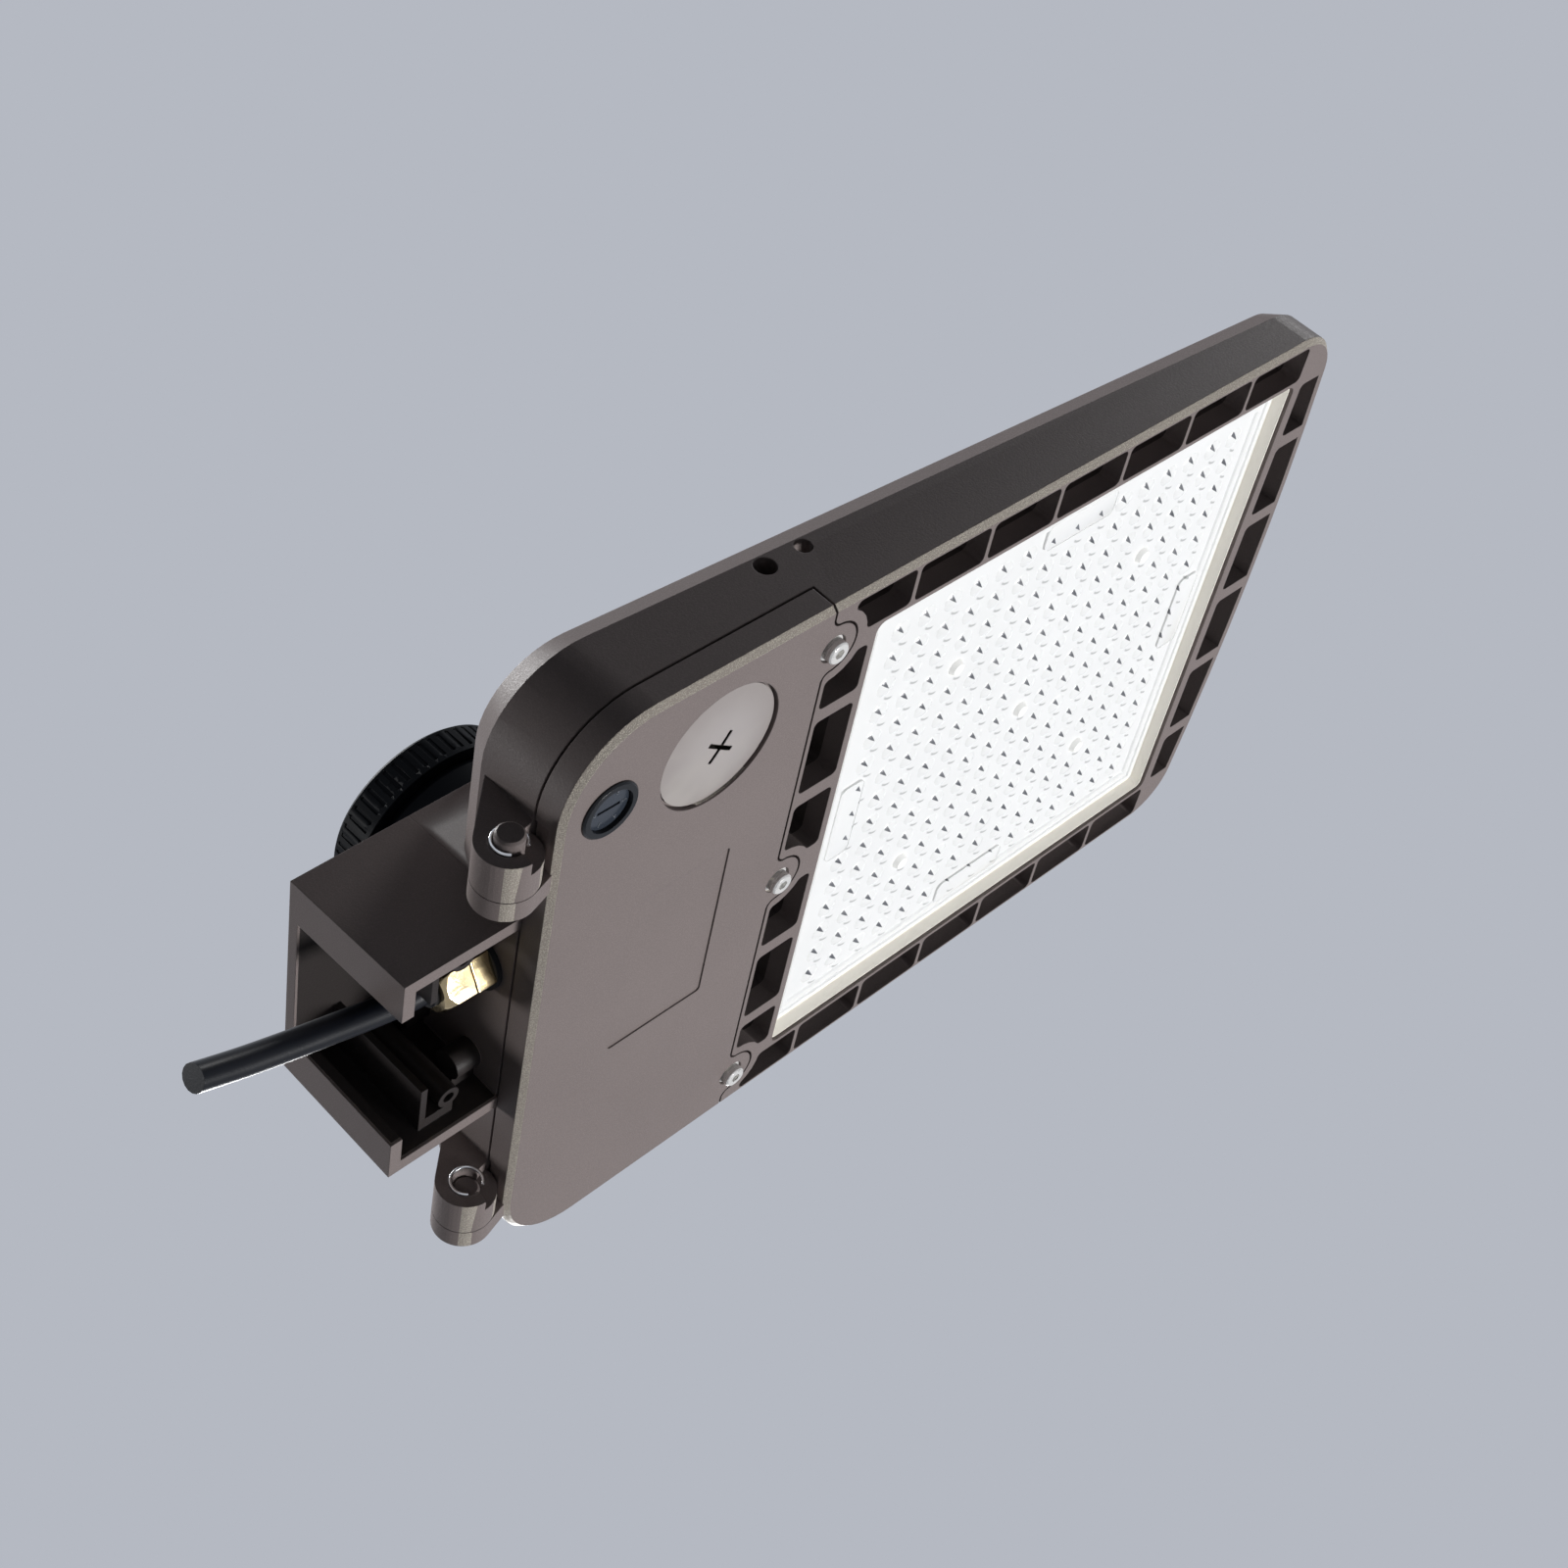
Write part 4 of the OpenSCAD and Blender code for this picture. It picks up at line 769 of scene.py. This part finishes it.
# Route of the cable from the gland's nose to its cut end, in millimetres
CABLE_ROUTE = ((22, -14.3, -10.7), (16, -14.6, -10.7), (8, -16.6, -10.7), (0, -18.7, -10.7),
               (-8, -21.2, -10.7), (-17, -23.9, -10.7), (-26, -26.6, -10.7), (-35, -29.5, -10.7),
               (-44, -32.6, -10.8), (-53, -36.1, -10.9), (-62, -39.8, -11))
CABLE_START = (57, -14.3, -10.7)


def add_wire(name, points, radius, material):
    """A round wire as a smooth curve through points in metres."""
    curve = bpy.data.curves.new(name, "CURVE")
    curve.dimensions = "3D"
    curve.bevel_depth = radius
    curve.bevel_resolution = 6
    curve.use_fill_caps = True
    curve.resolution_u = 6
    spline = curve.splines.new("NURBS")
    spline.points.add(len(points) - 1)
    for point, place in zip(spline.points, points):
        point.co = (*place, 1)
    spline.order_u = 3
    spline.use_endpoint_u = True
    curve.materials.append(material)
    wire = bpy.data.objects.new(name, curve)
    bpy.context.scene.collection.objects.link(wire)
    return wire


class AREALIGHT_OT_cable(bpy.types.Operator):
    """Lay the supply cable from the gland to its cut end"""

    bl_idname = "arealight.cable"
    bl_label = "Supply cable"

    def execute(self, context):
        cable = context.scene.arealight_cable
        jacket = moulded("cable_jacket", cable.colour, roughness=0.38, grain=0.03, edge=0.2)
        points = [Vector(p) * MM for p in CABLE_ROUTE]
        piece = add_wire("supply_cable_run", points, cable.diameter / 2, jacket)
        claimed(piece, "supply_cable")
        start = Vector(CABLE_START) * MM
        inner = add_wire("supply_cable_inner", [start, points[0]], cable.diameter / 2, jacket)
        claimed(inner, "supply_cable")
        return {"FINISHED"}


class AREALIGHT_OT_receptacle(bpy.types.Operator):
    """Finish the twist-lock receptacle and its shorting cap"""

    bl_idname = "arealight.receptacle"
    bl_label = "Receptacle"

    def execute(self, context):
        black = moulded("receptacle_black", (0.003, 0.004, 0.0055), roughness=0.45,
                        Specular_IOR_Level=0.06)
        for node in ("twist_lock_socket", "shorting_cap", "socket_nut", "socket_gasket"):
            finished(node, black)
        finished("socket_contacts", turned_metal("contact_brass", (0.8, 0.62, 0.35)))
        return {"FINISHED"}


class AREALIGHT_OT_compartment(bpy.types.Operator):
    """Finish the driver, surge protector, terminal block and wires behind the door"""

    bl_idname = "arealight.compartment"
    bl_label = "Compartment"

    def execute(self, context):
        finished("led_driver", moulded("driver_case", (0.6, 0.6, 0.58), roughness=0.35, Metallic=0.8))
        finished("surge_protector", moulded("surge_case", (0.42, 0.07, 0.03), roughness=0.4))
        finished("terminal_block", moulded("terminal_plastic", (0.02, 0.02, 0.023), roughness=0.45))
        finished("led_leads", moulded("red_wire", (0.4, 0.02, 0.02), roughness=0.3))
        finished("supply_leads", moulded("grey_wire", (0.35, 0.35, 0.35), roughness=0.3))
        return {"FINISHED"}


# Where each lamp stands, what it points at and how wide it is, in metres
LAMPS = {"key": ((0.7, 0.1, -2.5), (0.22, 0, 0), 0.7),
         "side": ((-1.3, 0.4, 1.3), (0, 0, 0), 0.5),
         "nose": ((3.0, -1.1, 0.9), (0.2, 0, 0), 0.8),
         "roof": ((0.3, 0.2, 2.4), (0.2, 0, 0), 1.0),
         "far": ((0.4, 2.4, 0.5), (0.2, 0, 0), 1.0)}

# The photograph's camera: lens and sensor in mm, place in metres and turn in degrees
CAMERA_LENS, CAMERA_SENSOR, CAMERA_SHIFT = 58.81, 36, -0.115
CAMERA_PLACE = (-0.3225, -0.6616, -0.3801)
CAMERA_TURN = (120.831, 45.659, -17.402)

FLOOR_HALF = 6                  # half the floor's width, in metres
FLOOR_LEVEL = 0.72              # share of the backdrop's level in what the camera sees of the floor


class AREALIGHT_OT_studio(bpy.types.Operator):
    """Set the floor, the lamps, the world and the camera"""

    bl_idname = "arealight.studio"
    bl_label = "Studio"

    def execute(self, context):
        studio = context.scene.arealight_studio
        self.set_world(context, studio)
        bm = bmesh.new()
        bmesh.ops.create_grid(bm, x_segments=1, y_segments=1, size=FLOOR_HALF)
        bmesh.ops.translate(bm, vec=(0, 0, studio.floor_z), verts=bm.verts)
        new_piece("floor", bm, self.floor_paint(studio))
        for name, (place, target, size) in LAMPS.items():
            self.add_lamp(name + "_lamp", place, target, size, getattr(studio, name))
        self.add_camera(context)
        context.scene.view_settings.view_transform = "Standard"
        return {"FINISHED"}

    def floor_paint(self, studio):
        """Pale floor that the lamps light, with part of the backdrop's level in what is seen."""
        look = Look("floor_paint", Roughness=0.8, Base_Color=(*studio.floor, 1))
        path = look.add("ShaderNodeLightPath").output.node
        seen = [Socket(look, path.outputs[name])
                for name in ("Is Camera Ray", "Is Glossy Ray", "Is Transmission Ray")]
        level = look.add("ShaderNodeEmission", sockets={"Color": (*studio.backdrop, 1)})
        lit = Socket(look, look.shader.outputs[0])
        share = (seen[0] + seen[1] + seen[2]) * FLOOR_LEVEL
        mixed = look.add("ShaderNodeMixShader", sockets={0: share, 1: lit, 2: level})
        look.links.new(mixed.output, look.nodes["Material Output"].inputs["Surface"])
        return look.material

    def set_world(self, context, studio):
        """Even grey light, with the backdrop's colour for the camera and in gloss."""
        world = bpy.data.worlds.new("studio")
        context.scene.world = world
        world.use_nodes = True
        nodes, links = world.node_tree.nodes, world.node_tree.links
        nodes.clear()
        path = nodes.new("ShaderNodeLightPath")
        seen = nodes.new("ShaderNodeBackground")
        seen.inputs["Color"].default_value = (*studio.backdrop, 1)
        even = nodes.new("ShaderNodeBackground")
        even.inputs["Color"].default_value = (1, 1, 1, 1)
        even.inputs["Strength"].default_value = studio.ambient
        mirrored = nodes.new("ShaderNodeMath")
        mirrored.operation = "ADD"
        shown = nodes.new("ShaderNodeMath")
        shown.operation, shown.use_clamp = "ADD", True
        links.new(path.outputs["Is Glossy Ray"], mirrored.inputs[0])
        links.new(path.outputs["Is Transmission Ray"], mirrored.inputs[1])
        links.new(path.outputs["Is Camera Ray"], shown.inputs[0])
        links.new(mirrored.outputs[0], shown.inputs[1])
        mix = nodes.new("ShaderNodeMixShader")
        out = nodes.new("ShaderNodeOutputWorld")
        links.new(shown.outputs[0], mix.inputs[0])
        links.new(even.outputs[0], mix.inputs[1])
        links.new(seen.outputs[0], mix.inputs[2])
        links.new(mix.outputs[0], out.inputs[0])

    def add_lamp(self, name, place, target, size, power):
        """A round soft lamp that points at a target."""
        light = bpy.data.lights.new(name, "AREA")
        light.shape, light.size, light.energy = "DISK", size, power
        lamp = bpy.data.objects.new(name, light)
        bpy.context.scene.collection.objects.link(lamp)
        lamp.location = place
        lamp.rotation_mode = "QUATERNION"
        lamp.rotation_quaternion = (Vector(target) - Vector(place)).to_track_quat("-Z", "Y")
        lamp.visible_camera = False

    def add_camera(self, context):
        """The photograph's view, from below the pole side."""
        data = bpy.data.cameras.new("photo_view")
        data.lens, data.sensor_width, data.shift_x = CAMERA_LENS, CAMERA_SENSOR, CAMERA_SHIFT
        data.clip_start, data.clip_end = 0.01, 50
        camera = bpy.data.objects.new("photo_view", data)
        context.scene.collection.objects.link(camera)
        camera.location = CAMERA_PLACE
        camera.rotation_euler = [math.radians(angle) for angle in CAMERA_TURN]
        context.scene.camera = camera


OPERATORS = (AREALIGHT_OT_studio, AREALIGHT_OT_cable, AREALIGHT_OT_castings, AREALIGHT_OT_fasteners,
             AREALIGHT_OT_port, AREALIGHT_OT_selector, AREALIGHT_OT_optics, AREALIGHT_OT_gland,
             AREALIGHT_OT_receptacle, AREALIGHT_OT_compartment)
SETTINGS = {"arealight_coating": CoatingSettings, "arealight_lens": LensSettings,
            "arealight_cable": CableSettings, "arealight_studio": StudioSettings}


class AREALIGHT_PT_pieces(bpy.types.Panel):
    """Lists the operators that build the area light"""

    bl_idname = "AREALIGHT_PT_pieces"
    bl_label = "Area Light"
    bl_space_type = "VIEW_3D"
    bl_region_type = "UI"
    bl_category = "Area Light"

    def draw(self, context):
        for name, group in SETTINGS.items():
            box = self.layout.box()
            for prop in group.__annotations__:
                box.prop(getattr(context.scene, name), prop)
        for operator in OPERATORS:
            self.layout.operator(operator.bl_idname)


def register():
    for group in SETTINGS.values():
        bpy.utils.register_class(group)
    for name, group in SETTINGS.items():
        setattr(bpy.types.Scene, name, PointerProperty(type=group))
    for cls in (*OPERATORS, AREALIGHT_PT_pieces):
        bpy.utils.register_class(cls)


def unregister():
    for cls in reversed((*OPERATORS, AREALIGHT_PT_pieces)):
        bpy.utils.unregister_class(cls)
    for name in SETTINGS:
        delattr(bpy.types.Scene, name)
    for group in reversed(SETTINGS.values()):
        bpy.utils.unregister_class(group)


def main():
    """Runs every operator in order."""
    register()
    for operator in OPERATORS:
        getattr(bpy.ops.arealight, operator.bl_idname.split(".")[1])()


if __name__ == "__main__":
    main()
